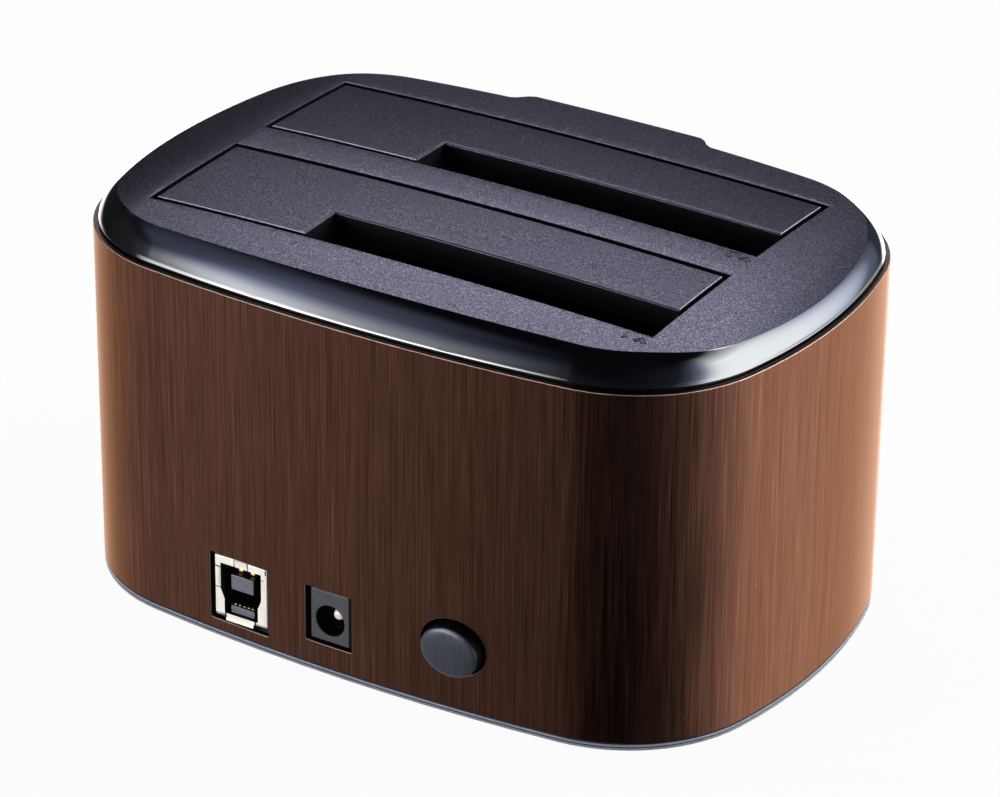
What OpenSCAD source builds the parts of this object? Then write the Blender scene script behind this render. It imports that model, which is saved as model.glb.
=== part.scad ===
// Two-bay upright hard drive docking station.
// The part stands on its feet at z = 0, the bays open upwards (+Z), the ports and the power
// button face the rear (+Y) and the indicator window faces the front (-Y).

/* [Housing] */
// Housing beyond each end of the bays
end_margin = 18.8; // [17:0.1:30]
// Housing in front of and behind the bays
side_margin = 16.75; // [15:0.05:25]
// Radius of the four upright corners
corner_r = 29; // [24:0.5:32]
// Radius of the bowed front and rear sides
long_side_r = 390; // [300:5:700]
// Radius of the bowed ends
short_side_r = 103; // [90:1:200]
// Height of the metal sleeve
sleeve_h = 69; // [64:0.5:84]
// Wall of the metal sleeve
sleeve_t = 1.2; // [0.8:0.1:1.6]

/* [Top cover] */
// Height of the cover's middle above the sleeve's upper edge
cover_rise = 7.9; // [7.4:0.1:10]
// Moulded wall of the cover
cover_wall = 2.2; // [1.8:0.1:2.6]
// How far the bevel's lower edge stands in from the sleeve
bevel_inset = 1; // [0.5:0.1:1.6]
// Shadow gap between the sleeve and the bevel's lower edge
bevel_lift = 1; // [0.5:0.1:1.5]
// Bevel width for each millimetre of bevel height
bevel_slope = 0.82; // [0.6:0.02:1]
// Crown radius along the length
crown_r_x = 1440; // [1200:20:4000]
// Crown radius across the depth
crown_r_y = 728; // [600:8:2000]
// Radius of the roll-off beyond the bays
roll_r = 62; // [50:1:120]
// Length of the locating neck inside the sleeve
neck_h = 5; // [3:0.5:7]
// Length of the indicator ledge on the front edge
ledge_w = 44; // [36:0.5:52]
// How far the indicator ledge stands out from the bevel
ledge_out = 2.6; // [1.5:0.1:3]

/* [Drive bays] */
// Length of each bay opening
bay_l = 106; // [104:0.2:108]
// Width of each bay opening
bay_w = 27.7; // [27:0.1:28.4]
// Strip of cover between the two bays
bay_gap = 9.1; // [9:0.1:10]
// Length of the small-drive notch in each flap
notch_l = 72.5; // [71:0.5:76]
// Width of the small-drive notch in each flap
notch_w = 10.9; // [10:0.1:11.6]
// Gap round each flap
flap_gap = 0.8; // [0.5:0.1:1]
// Plate thickness of a flap
flap_t = 2; // [1.6:0.1:2.2]
// Depth of the skirt along a flap's free edges
skirt_h = 3.6; // [2.6:0.1:4]
// Diameter of a hinge pin
pin_d = 2; // [1.6:0.1:2.2]

/* [Rear panel] */
// Width of the data socket's shell
usb_w = 11.6; // [11.4:0.1:12.2]
// Height of the data socket's shell
usb_h = 12.5; // [12.4:0.1:12.8]
// Distance of the data socket from the middle
usb_x = 23.3; // [20:0.1:26]
// Width of the power inlet's face
dc_w = 8.3; // [8:0.1:9.2]
// Height of the power inlet's face
dc_h = 10.4; // [10.2:0.1:11.2]
// Distance of the power inlet from the middle
dc_x = 3.2; // [-2:0.1:5]
// Bore of the power inlet
dc_bore_d = 6.2; // [5.8:0.1:6.4]
// Clearance of the sleeve round the two sockets
port_gap = 0.9; // [0.5:0.1:1.2]
// How far the sockets' faces lie behind the sleeve's surface
port_recess = 0.6; // [0.2:0.1:1]
// Distance of the power button from the middle, on the other side
button_x = 22.9; // [20:0.1:30]
// Width of the oval power button
button_w = 12.1; // [11:0.1:13]
// Height of the oval power button
button_h = 9.9; // [9:0.1:12]
// Gap round the power button
button_gap = 0.5; // [0.3:0.05:0.8]
// How far the power button stands out
button_out = 1.8; // [1.2:0.1:2.4]
// Travel of the power button
button_travel = 1.6; // [1:0.1:1.8]

/* [Inside] */
// Height of the board's underside above the sleeve's lower edge
board_lift = 15.4; // [15.2:0.1:17]
// Thickness of the circuit board
board_t = 1.6; // [1.2:0.1:2]
// Wall of the drive cage
cage_t = 1.5; // [1.2:0.1:1.6]
// Thickness of the base plate
base_t = 2; // [1.6:0.1:2.6]
// Visible edge of the base below the sleeve
trim_h = 1.2; // [0.8:0.1:1.6]
// Height that the feet stand out below the base
foot_h = 1.5; // [1:0.1:2.5]
// Diameter of a foot
foot_d = 10; // [8:0.5:12]

/* [Hidden] */
$fn = 64;

// Colours of the finishes
brown = "#6b4632";
charcoal = "#3c3e47";
black = "#1c1d20";
steel = "#c9cbcf";
gold = "#d6ab4a";
board_green = "#1f5a3a";
rubber = "#2a2a2c";

// Clearances
eps = 0.01;
slip = 0.25;
free_gap = 0.4;
run_fit = 0.05;
seat_fit = 0.02;
trim_gap = 0.3;

// Levels
sleeve_z0 = foot_h + trim_h + trim_gap;
rim_z = sleeve_z0 + sleeve_h;
top_z = rim_z + cover_rise;
base_top = foot_h + base_t;
board_z = sleeve_z0 + board_lift;
board_top = board_z + board_t;
floor_t = 1.6;
floor_z = board_top + 2.4;
floor_top = floor_z + floor_t;
cage_top = rim_z;
flange_t = 2;
flange_top = rim_z - 4;

// Outline: bowed sides joined by tangent corner arcs
half_w = bay_l / 2 + end_margin;
half_d = bay_w + bay_gap / 2 + side_margin;
long_c = [0, half_d - long_side_r];
short_c = [half_w - short_side_r, 0];
long_k = long_side_r - corner_r;
short_k = short_side_r - corner_r;
span = norm(short_c - long_c);
along = (span * span + long_k * long_k - short_k * short_k) / (2 * span);
across = sqrt(long_k * long_k - along * along);
dir = (short_c - long_c) / span;
corner_c = long_c + along * dir + across * [dir.y, -dir.x];
long_a = atan2(corner_c.y - long_c.y, corner_c.x - long_c.x);
short_a = atan2(corner_c.y - short_c.y, corner_c.x - short_c.x);
side_steps = 10;
corner_steps = 14;

function arc(c, r, a0, a1, n) =
    [for (i = [0:n - 1]) let (a = a0 + (a1 - a0) * i / n) c + r * [cos(a), sin(a)]];

// Quarter outline from the end's middle to the long side's middle, moved in by an inset
function quarter(inset) = concat(
    arc(short_c, short_side_r - inset, 0, short_a, side_steps / 2),
    arc(corner_c, corner_r - inset, short_a, long_a, corner_steps),
    arc(long_c, long_side_r - inset, long_a, 90, side_steps / 2)
);
function turned(points) = [for (p = points) -p];
function across_y(points, inset) = concat(
    [[0, half_d - inset]],
    [for (i = [len(points) - 1:-1:1]) [-points[i].x, points[i].y]]
);
function half_outline(inset) = concat(quarter(inset), across_y(quarter(inset), inset));
function outline(inset) = concat(half_outline(inset), turned(half_outline(inset)));

module slab(inset, z0, z1) {
    translate([0, 0, z0])
        linear_extrude(z1 - z0)
            polygon(outline(inset));
}

module ring(outer, inner, z0, z1) {
    difference() {
        slab(outer, z0, z1);
        slab(inner, z0 - eps, z1 + eps);
    }
}

// Rear surface of the sleeve at a distance from the middle
function rear_y(x, inset = 0) = long_c.y + sqrt(pow(long_side_r - inset, 2) - x * x);

// Crown of the top: a shallow arch along the length that rolls off beyond the bays,
// swept on a large radius across the depth
roll_start = bay_l / 2 - 1.2;
crown_steps = 20;
crown_deep = 20;
crown_angle = 2 * asin((half_d + 3) / (crown_r_y - crown_deep));
function crown_x(x) = x * x / (2 * crown_r_x) + pow(max(0, abs(x) - roll_start), 2) / (2 * roll_r);
function crown_y(y) = y * y / (2 * crown_r_y);
function top_at(x, y) = top_z - crown_x(x) - crown_y(y);

module crown_solid(lower) {
    arch = [for (i = [-crown_steps:crown_steps])
        let (x = half_w * i / crown_steps) [crown_r_y - crown_x(x) - lower, x]];
    foot = [[crown_r_y - crown_deep, half_w], [crown_r_y - crown_deep, -half_w]];
    translate([0, 0, top_z - crown_r_y])
        rotate([0, -90, 0])
            rotate([0, 0, -crown_angle / 2])
                rotate_extrude(angle = crown_angle, $fn = 720)
                    polygon(concat(arch, foot));
}

// Bays: index 0 is the rear bay, index 1 the front bay
bay_y0 = [bay_gap / 2, -bay_gap / 2 - bay_w];
bay_y1 = [bay_gap / 2 + bay_w, -bay_gap / 2];
well_gap = 0.3;
lip_h = 3;

// Hinge line of each flap, in front of the opening and under the cover
barrel_r = pin_d / 2 + 0.7;
barrel_x = 40;
barrel_l = 7;
lug_x = 48;
lug_l = 3;
lug_r = pin_d / 2 + 1.2;
pin_l = 2 * (lug_x + lug_l) - 1;
hinge_back = 5.2;
hinge_depth = cover_wall + crown_x(barrel_x + barrel_l / 2) + free_gap + barrel_r;
hinge_y = [for (b = [0, 1]) bay_y0[b] - hinge_back];
hinge_z = [for (b = [0, 1]) top_z - crown_y(hinge_y[b]) - hinge_depth];

// Fasteners
screw_r = 1.5;
screw_hole_r = 1.7;
thread_r = 1.48;
head_r = 2.8;
head_h = 1.8;
boss_r = 3.6;
post_x = bay_l / 2 + 8;
cover_screw_y = 10;
base_screw_y = 22;
cover_screw_at = [for (sx = [-1, 1], sy = [-1, 1]) [sx * post_x, sy * cover_screw_y]];
base_screw_at = [for (sx = [-1, 1], sy = [-1, 1]) [sx * post_x, sy * base_screw_y]];
cover_screw_l = 8;
base_screw_l = 12;
base_head_z = foot_h + 0.6;
tray_boss_h = 5;

// Board and its posts
board_w = 92;
board_y0 = -bay_gap / 2 - bay_w - 3;
board_y1 = half_d - 6.4;
board_corner = 5;
board_post_at = [for (sx = [-1, 1], y = [board_y0 + 6, board_y1 - 6]) [sx * (board_w / 2 - 5), y]];
board_post_r = 3;
board_screw_r = 1.2;
board_screw_l = 8;
board_head_h = 1.4;

// Rear ports hang under the board
usb_z0 = board_z - usb_h;
usb_front = rear_y(usb_x) - port_recess;
usb_depth = 17.5;
usb_wall = 0.4;
usb_mouth_w = 9;
usb_mouth_h = 10.3;
usb_mouth_drop = 0.4;
usb_step_w = 7.4;
usb_step_h = 2.95;
usb_bevel_h = 1.9;
dc_z0 = board_z - dc_h;
dc_front = rear_y(dc_x) - port_recess;
dc_depth = 13.6;
dc_hole_z = dc_z0 + dc_h / 2 - 0.75;
dc_bore_l = 10.5;
dc_pin_r = 1.05;
button_rx = button_w / 2;
button_rz = button_h / 2;
button_z = board_z - 3.7;
button_front = rear_y(button_x) + button_out;
button_back = rear_y(button_x + button_rx + 1.6, sleeve_t) - free_gap;
switch_w = 8.5;
switch_front = button_back - 1.4 - 3.6 - button_travel - free_gap;
switch_l = 12.5;
plunger_w = 3.2;
stem_r = 3.1;
stem_l = 3.6;

// Drive sockets
sata_x = -bay_l / 2 + 29;
sata_y = [for (b = [0, 1]) bay_y1[b] - 4.75];
sata_l = 43;
sata_w = 5.6;
sata_h = 9.2;
sata_base_w = 7.4;
sata_base_h = 2;
slot_w = 1.5;
slot_deep = 6;
data_l = 10.4;
supply_l = 20.6;
slot_between = 2.4;

// Indicator in the front ledge: a bent light guide over a small flat board
edge_y = -half_d + bevel_inset + bevel_slope * (cover_rise - bevel_lift - crown_y(half_d - 5));
ledge_y = edge_y - ledge_out;
window_w = 14;
window_h = 1.2;
window_z = top_at(0, ledge_y) - window_h - 0.6;
guide_t = 1.6;
guide_y = edge_y + 0.6;
guide_z0 = rim_z - 0.8;
led_h = 0.8;
led_board_w = 30;
led_board_d = 4.6;
led_board_t = 1;
led_board_z = guide_z0 - 0.3 - led_h - led_board_t;
led_board_y = -half_d + sleeve_t + slip + cover_wall + 0.3;
peg_x = 12;
peg_y = led_board_y + led_board_d / 2;
peg_r = 0.8;
cable_w = 6;
cable_t = 0.4;
cable_y = led_board_y + 1.2;

// Swept round tube along a list of points, closed by flat ends
module tube(path, r, sides) {
    last = len(path) - 1;
    rings = [for (i = [0:last])
        let (d = path[min(i + 1, last)] - path[max(i - 1, 0)],
            t = d / norm(d),
            u = cross(t, [0.28, 0.36, 0.89]),
            n = u / norm(u),
            m = cross(t, n))
        for (k = [0:sides - 1]) path[i] + r * (cos(360 * k / sides) * n + sin(360 * k / sides) * m)];
    walls = [for (i = [0:last - 1], k = [0:sides - 1])
        let (a = i * sides + k, b = i * sides + (k + 1) % sides)
        each [[a, b, b + sides], [a, b + sides, a + sides]]];
    caps = [for (k = [1:sides - 2])
        each [[0, k + 1, k], [last * sides, last * sides + k, last * sides + k + 1]]];
    polyhedron(concat(walls, caps) == [] ? [] : rings, concat(walls, caps));
}

module screw(r, l, head_r, head_h) {
    translate([0, 0, -eps])
        cylinder(r = r, h = l + eps);
    translate([0, 0, -head_h])
        difference() {
            cylinder(r = head_r, h = head_h);
            for (a = [0, 90])
                rotate([0, 0, a])
                    translate([-head_r * 0.6, -0.3, -eps])
                        cube([head_r * 1.2, 0.6, head_h * 0.45]);
        }
}

// Metal sleeve: one band with the rear cut-outs
module sleeve() {
    color(brown)
        difference() {
            ring(0, sleeve_t, sleeve_z0, rim_z);
            translate([usb_x - usb_w / 2 - port_gap, half_d - 8, usb_z0 - port_gap])
                cube([usb_w + 2 * port_gap, 12, usb_h + 2 * port_gap]);
            translate([dc_x - dc_w / 2 - port_gap, half_d - 8, dc_z0 - port_gap / 2])
                cube([dc_w + 2 * port_gap, 12, dc_h + port_gap]);
            button_oval(button_gap, half_d - 8, half_d + 4);
        }
}

// Ledge on the front edge of the cover, over the indicator window
module front_ledge() {
    ramp = 4;
    base = ledge_w / 2;
    intersection() {
        translate([0, 0, rim_z + bevel_lift])
            linear_extrude(cover_rise)
                polygon([[-base, edge_y + 3], [-base, edge_y], [-base + ramp, ledge_y],
                    [base - ramp, ledge_y], [base, edge_y], [base, edge_y + 3]]);
        crown_solid(0);
    }
}

module bevel_body() {
    rise = cover_rise - bevel_lift + 0.5;
    hull() {
        slab(bevel_inset, rim_z + bevel_lift, rim_z + bevel_lift + eps);
        slab(bevel_inset + bevel_slope * rise, rim_z + bevel_lift + rise - eps, rim_z + bevel_lift + rise);
    }
}

module cover_cavity() {
    neck_in = sleeve_t + slip + cover_wall;
    slab(neck_in, rim_z - neck_h - 1, rim_z + bevel_lift + 0.2);
    intersection() {
        slab(bevel_inset + bevel_slope * (cover_rise - bevel_lift) - free_gap, rim_z, top_z);
        crown_solid(cover_wall);
    }
}

module hinge_lug(b, s) {
    lug_top = top_at(lug_x + lug_l, hinge_y[b]) - cover_wall + 0.6;
    translate([s * (lug_x + lug_l / 2) - lug_l / 2, hinge_y[b], 0]) {
        translate([0, 0, hinge_z[b]])
            rotate([0, 90, 0])
                cylinder(r = lug_r, h = lug_l);
        translate([0, -lug_r, hinge_z[b]])
            cube([lug_l, 2 * lug_r, lug_top - hinge_z[b]]);
    }
}

// Guiding lip under the rear edge and the two ends of an opening
module bay_lip(b) {
    lip_z = cage_top + well_gap;
    x0 = bay_l / 2 + well_gap;
    top = top_at(x0, bay_y1[b]) - cover_wall + 0.6;
    difference() {
        translate([-x0 - cage_t, bay_y1[b] - bay_w * 0.7, lip_z])
            cube([2 * (x0 + cage_t), bay_w * 0.7 + well_gap + cage_t, top - lip_z]);
        translate([-x0, bay_y0[b] - 1, lip_z - 1])
            cube([2 * x0, bay_w + 1 + well_gap, 20]);
    }
}

// Top cover: bevelled and crowned shell with two bay openings
module top_cover() {
    color(charcoal)
        difference() {
            union() {
                difference() {
                    union() {
                        intersection() {
                            bevel_body();
                            crown_solid(0);
                        }
                        front_ledge();
                        slab(sleeve_t + slip, rim_z - neck_h, rim_z + bevel_lift + 0.1);
                    }
                    cover_cavity();
                }
                for (b = [0, 1]) {
                    bay_lip(b);
                    for (s = [-1, 1])
                        hinge_lug(b, s);
                }
                for (p = cover_screw_at)
                    translate([p.x, p.y, flange_top])
                        cylinder(r = boss_r, h = top_at(p.x, p.y) - cover_wall + 0.6 - flange_top);
                for (s = [-1, 1])
                    translate([s * peg_x, peg_y, led_board_z - 0.6])
                        rotate_extrude()
                            polygon([[0, 0], [peg_r, 0], [peg_r, 0.6 + led_board_t], [2 * peg_r, 0.6 + led_board_t],
                                [2 * peg_r, rim_z + 2 - led_board_z], [0, rim_z + 2 - led_board_z]]);
            }
            for (b = [0, 1]) {
                translate([-bay_l / 2, bay_y0[b], rim_z])
                    cube([bay_l, bay_w, cover_rise + 1]);
                translate([-lug_x - lug_l - 1, hinge_y[b], hinge_z[b]])
                    rotate([0, 90, 0])
                        cylinder(r = pin_d / 2 + seat_fit, h = 2 * (lug_x + lug_l + 1));
            }
            for (p = cover_screw_at)
                translate([p.x, p.y, flange_top - 1])
                    cylinder(r = screw_r, h = cover_screw_l + 0.5 - flange_t + 1);
            light_guide(seat_fit, 1);
        }
}

// Bent light guide, from over the small board to the window in the ledge
module light_guide(grow, past) {
    y0 = ledge_y - past;
    y1 = guide_y + guide_t + grow;
    z0 = guide_z0 - past;
    z1 = window_z + window_h + grow;
    translate([-window_w / 2 - grow, 0, 0])
        rotate([90, 0, 90])
            linear_extrude(window_w + 2 * grow)
                polygon([[y0, window_z - grow], [guide_y - grow, window_z - grow], [guide_y - grow, z0],
                    [y1, z0], [y1, z1], [y0, z1]]);
}

// Plate outline of a flap, seen from above, with the notch for small drives
module flap_plan(b, edge) {
    x0 = bay_l / 2 - flap_gap;
    difference() {
        translate([-x0, bay_y0[b] + flap_gap])
            square([2 * x0, bay_w - 2 * flap_gap]);
        translate([-x0 - 1, bay_y1[b] - notch_w - edge])
            square([notch_l - bay_l / 2 + x0 + 1 + edge, notch_w + 1 + edge]);
    }
}

module hinge_arm(b, s) {
    reach = hinge_back + flap_gap;
    under = hinge_depth - crown_x(barrel_x) - flap_t;
    translate([s * barrel_x - barrel_l / 2, hinge_y[b], hinge_z[b]])
        rotate([90, 0, 90])
            difference() {
                union() {
                    cylinder(r = barrel_r, h = barrel_l);
                    linear_extrude(barrel_l)
                        polygon([[0, -barrel_r * 0.7], [reach + 4, under - 0.4], [reach + 4, under + 0.6],
                            [reach + 0.4, under + 0.6], [reach - 0.5, barrel_r * 0.9], [0, barrel_r * 0.9]]);
                }
                translate([0, 0, -1])
                    cylinder(r = pin_d / 2 + run_fit, h = barrel_l + 2);
            }
}

// Spring flap over a bay: crowned plate, skirt along the free edges, two hinge arms
module flap(b) {
    skirt_t = 1.4;
    color(charcoal) {
        difference() {
            intersection() {
                translate([0, 0, top_z - 12])
                    linear_extrude(12)
                        flap_plan(b, 0);
                crown_solid(0);
            }
            difference() {
                crown_solid(flap_t);
                translate([-bay_l, bay_y1[b] - notch_w - skirt_t, top_z - 12])
                    cube([bay_l + notch_l - bay_l / 2 + skirt_t, notch_w + skirt_t, 12]);
            }
            translate([-half_w, -half_d, top_z - 14])
                cube([2 * half_w, 2 * half_d, 14 - flap_t - skirt_h]);
        }
        for (s = [-1, 1])
            hinge_arm(b, s);
    }
}

module flap_a() { flap(0); }
module flap_b() { flap(1); }

module hinge_pin(b) {
    color(steel)
        translate([-pin_l / 2, hinge_y[b], hinge_z[b]])
            rotate([0, 90, 0])
                cylinder(d = pin_d, h = pin_l);
}

module hinge_pin_a() { hinge_pin(0); }
module hinge_pin_b() { hinge_pin(1); }

// Torsion spring on the hinge pin: one leg under the cover, one under the flap
module flap_spring(b) {
    wire_r = 0.25;
    coil_r = pin_d / 2 + 0.12 + wire_r;
    turns = 5;
    per_turn = 8;
    pitch = 0.75;
    x0 = 20;
    leg = 6;
    coil = [for (i = [0:turns * per_turn])
        let (a = 90 - 360 * i / per_turn)
        [x0 + pitch * i / per_turn, hinge_y[b] + coil_r * cos(a), hinge_z[b] + coil_r * sin(a)]];
    start = coil[0] + [0, -leg / 4, leg / 7];
    finish = coil[len(coil) - 1] + [0, leg, 0];
    color(steel)
        tube(concat([start], coil, [finish]), wire_r, 6);
}

module flap_spring_a() { flap_spring(0); }
module flap_spring_b() { flap_spring(1); }

// Drive cage: two open wells on one floor, hung from the cover and standing on the base
module drive_cage() {
    in_x = bay_l / 2 + well_gap;
    out_x = in_x + cage_t;
    pocket_z = hinge_z[1] - hinge_back - bay_w - free_gap;
    flange_y = base_screw_y + boss_r;
    color(black)
        difference() {
            union() {
                for (b = [0, 1]) {
                    well_y0 = bay_y0[b] - well_gap;
                    well_y1 = bay_y1[b] + well_gap;
                    translate([-out_x, well_y1, floor_z])
                        cube([2 * out_x, cage_t, cage_top - floor_z]);
                    translate([-out_x, well_y0 - cage_t, floor_z])
                        cube([2 * out_x, cage_t, pocket_z - floor_z]);
                    for (s = [0, 1])
                        mirror([s, 0, 0])
                            translate([in_x, well_y0 - cage_t, floor_z])
                                cube([cage_t, well_y1 - well_y0 + 2 * cage_t, cage_top - floor_z]);
                }
                translate([-out_x, bay_y0[1] - well_gap - cage_t, floor_z])
                    cube([2 * out_x, bay_y1[0] - bay_y0[1] + 2 * (well_gap + cage_t), floor_t]);
                for (s = [0, 1])
                    mirror([s, 0, 0]) {
                        translate([in_x, -flange_y, flange_top - flange_t])
                            cube([post_x + boss_r - in_x, 2 * flange_y, flange_t]);
                        for (p = base_screw_at)
                            if (p.x > 0) {
                                translate([p.x, p.y, base_top + tray_boss_h])
                                    cylinder(r = boss_r, h = flange_top - base_top - tray_boss_h);
                                translate([in_x, p.y - cage_t / 2, floor_z])
                                    cube([p.x - in_x, cage_t, flange_top - floor_z]);
                            }
                    }
            }
            for (b = [0, 1])
                translate([sata_x - sata_l / 2 - free_gap, sata_y[b] - sata_base_w / 2 - free_gap, floor_z - 1])
                    cube([sata_l + 2 * free_gap, sata_base_w + 2 * free_gap, floor_t + 2]);
            for (p = cover_screw_at)
                translate([p.x, p.y, flange_top - flange_t - 1])
                    cylinder(r = screw_hole_r, h = flange_t + 2);
            for (p = base_screw_at)
                translate([p.x, p.y, base_top + tray_boss_h - 1])
                    cylinder(r = screw_r, h = base_screw_l);
        }
}

// Base tray: plate with a visible edge, a lip inside the sleeve, bosses and board posts
module base_tray() {
    lip_in = sleeve_t + slip;
    lip_t = 1.6;
    lip_top = sleeve_z0 + 2;
    color(charcoal)
        difference() {
            union() {
                slab(0.15, foot_h, foot_h + trim_h);
                slab(0.55, foot_h, sleeve_z0);
                slab(lip_in, foot_h, base_top);
                ring(lip_in, lip_in + lip_t, foot_h, lip_top);
                for (p = base_screw_at)
                    translate([p.x, p.y, foot_h])
                        cylinder(r = boss_r + 0.6, h = base_t + tray_boss_h);
                for (p = board_post_at)
                    translate([p.x, p.y, foot_h])
                        cylinder(r = board_post_r, h = board_z - foot_h);
            }
            for (p = base_screw_at) {
                translate([p.x, p.y, foot_h - 1])
                    cylinder(r = screw_hole_r, h = base_t + tray_boss_h + 2);
                translate([p.x, p.y, foot_h - 1])
                    cylinder(r = head_r + 0.3, h = base_head_z + head_h - foot_h + 1);
            }
            for (p = board_post_at)
                translate([p.x, p.y, board_z - board_screw_l])
                    cylinder(r = board_screw_r, h = board_screw_l + 1);
            for (sx = [-1, 1], sy = [-1, 1])
                translate([sx * foot_x, sy * foot_y, foot_h - 1])
                    cylinder(d = foot_d + 0.4, h = foot_seat + 1);
        }
}

// Main circuit board with cut corners and screw holes
module main_board() {
    x0 = board_w / 2;
    c = board_corner;
    color(board_green)
        difference() {
            translate([0, 0, board_z])
                linear_extrude(board_t)
                    polygon([[-x0, board_y0], [x0, board_y0], [x0, board_y1 - c], [x0 - c, board_y1],
                        [-x0 + c, board_y1], [-x0, board_y1 - c]]);
            for (p = board_post_at)
                translate([p.x, p.y, board_z - 1])
                    cylinder(r = board_screw_r + 0.2, h = board_t + 2);
        }
}

// Upright drive socket: stepped housing with a short data slot and a long power slot
slot_x = [-(data_l + slot_between + supply_l) / 2, (data_l + slot_between - supply_l) / 2];
slot_l = [data_l, supply_l];

module sata_socket(b) {
    color(black)
        translate([sata_x, sata_y[b], board_top])
            difference() {
                union() {
                    translate([-sata_l / 2, -sata_base_w / 2, 0])
                        cube([sata_l, sata_base_w, sata_base_h]);
                    translate([-sata_l / 2 + 1, -sata_w / 2, 0])
                        cube([sata_l - 2, sata_w, sata_h]);
                }
                for (i = [0, 1]) {
                    translate([slot_x[i], -slot_w / 2, sata_h - slot_deep])
                        cube([slot_l[i], slot_w, slot_deep + 1]);
                    translate([slot_x[i] + slot_l[i] - slot_w, -slot_w / 2, sata_h - slot_deep])
                        cube([slot_w, slot_w + 1.1, slot_deep + 1]);
                }
            }
}

module sata_socket_a() { sata_socket(0); }
module sata_socket_b() { sata_socket(1); }

// Spring contacts along the front wall of both slots
module sata_contacts(b) {
    count = [7, 15];
    pitch = 1.27;
    color(gold)
        translate([sata_x, sata_y[b], board_top + sata_h - slot_deep])
            for (i = [0, 1], k = [0:count[i] - 1])
                translate([slot_x[i] + 0.9 + k * pitch - 0.35, -slot_w / 2, 0])
                    cube([0.7, 0.35, slot_deep - 1.2]);
}

module sata_contacts_a() { sata_contacts(0); }
module sata_contacts_b() { sata_contacts(1); }

// Mouth of the data socket: wide above, narrow below, with sloping shoulders
module usb_mouth(grow) {
    w = usb_mouth_w / 2 + grow;
    s = usb_step_w / 2 + grow;
    z0 = -usb_mouth_drop - usb_mouth_h / 2 - grow;
    z1 = -usb_mouth_drop + usb_mouth_h / 2 + grow;
    step = z0 + usb_step_h;
    polygon([[-s, z0], [s, z0], [s, step], [w, step + usb_bevel_h], [w, z1], [-w, z1],
        [-w, step + usb_bevel_h], [-s, step]]);
}

module usb_place() {
    translate([usb_x, usb_front, usb_z0 + usb_h / 2])
        rotate([90, 0, 0])
            children();
}

module usb_shell() {
    color(steel)
        usb_place()
            difference() {
                translate([-usb_w / 2, -usb_h / 2, 0])
                    cube([usb_w, usb_h, usb_depth]);
                translate([0, 0, -1])
                    linear_extrude(usb_wall + 2)
                        usb_mouth(0);
                translate([-usb_w / 2 + usb_wall, -usb_h / 2 + usb_wall, usb_wall])
                    cube([usb_w - 2 * usb_wall, usb_h - 2 * usb_wall, usb_depth]);
            }
}

// Upper and lower tongues: distance of the underside from the shell's middle, width, height
tongue_z = [-0.45, -5.35];
tongue_w = [5, 5.2];
tongue_h = [3.1, 1.5];
tongue_back = 0.5;
usb_cavity = 9.5;

module usb_insulator() {
    body_gap = usb_wall + seat_fit;
    color(black)
        usb_place() {
            difference() {
                translate([-usb_w / 2 + body_gap, -usb_h / 2 + body_gap, usb_wall + seat_fit])
                    cube([usb_w - 2 * body_gap, usb_h - 2 * body_gap, usb_depth - usb_wall - seat_fit]);
                translate([0, 0, -1])
                    linear_extrude(usb_cavity + 1)
                        usb_mouth(0.05);
            }
            for (i = [0, 1])
                translate([-tongue_w[i] / 2, tongue_z[i], tongue_back])
                    cube([tongue_w[i], tongue_h[i], usb_cavity - tongue_back + 0.5]);
        }
}

// Contacts: two over and two under the upper tongue, five over the lower tongue
module usb_contacts() {
    t = 0.25;
    back = tongue_back + 0.8;
    color(gold)
        usb_place() {
            for (x = [-1.25, 1.25], z = [tongue_z[0] - t, tongue_z[0] + tongue_h[0]])
                translate([x - 0.4, z, back])
                    cube([0.8, t, usb_cavity - back]);
            for (k = [-2:2])
                translate([k * 0.95 - 0.25, tongue_z[1] + tongue_h[1], back])
                    cube([0.5, t, usb_cavity - back]);
        }
}

// Power inlet: block with a round bore, a centre pin and a leaf contact
module dc_jack_body() {
    color(black)
        difference() {
            translate([dc_x - dc_w / 2, dc_front - dc_depth, dc_z0])
                cube([dc_w, dc_depth, dc_h]);
            translate([dc_x, dc_front + 1, dc_hole_z])
                rotate([90, 0, 0])
                    cylinder(d = dc_bore_d, h = dc_bore_l + 1);
            translate([dc_x, dc_front - dc_bore_l + 1, dc_hole_z])
                rotate([90, 0, 0])
                    cylinder(r = dc_pin_r + seat_fit, h = dc_depth);
        }
}

module dc_center_pin() {
    tip = 0.6;
    color(steel)
        translate([dc_x, dc_front - dc_depth, dc_hole_z])
            rotate([-90, 0, 0]) {
                cylinder(r = dc_pin_r, h = dc_depth - 2.4 - tip);
                translate([0, 0, dc_depth - 2.4 - tip])
                    cylinder(r1 = dc_pin_r, r2 = dc_pin_r - tip / 2, h = tip);
            }
}

module dc_spring_contact() {
    w = 2.2;
    t = 0.3;
    color(steel)
        translate([dc_x - w / 2, dc_front - dc_bore_l + seat_fit, dc_hole_z - dc_bore_d / 2 + 0.55])
            rotate([90, 0, 90])
                linear_extrude(w)
                    polygon([[0, 0], [3, 0.3], [6, 0.7], [8, 0], [8, t], [6, 0.7 + t], [3, 0.3 + t], [0, t]]);
}

// Latching push switch under the board, with a sliding plunger
module switch_body() {
    bore = plunger_w + 2 * 0.1;
    color(black)
        difference() {
            translate([-button_x - switch_w / 2, switch_front - switch_l, board_z - switch_w])
                cube([switch_w, switch_l, switch_w]);
            translate([-button_x - bore / 2, switch_front - 7, button_z - bore / 2])
                cube([bore, 8, bore]);
        }
}

plunger_in = 4;
module switch_plunger() {
    socket = 3;
    color(steel)
        translate([-button_x - plunger_w / 2, switch_front - plunger_in, button_z - plunger_w / 2])
            cube([plunger_w, button_back - 1.4 - switch_front + plunger_in - stem_l + socket, plunger_w]);
}

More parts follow.
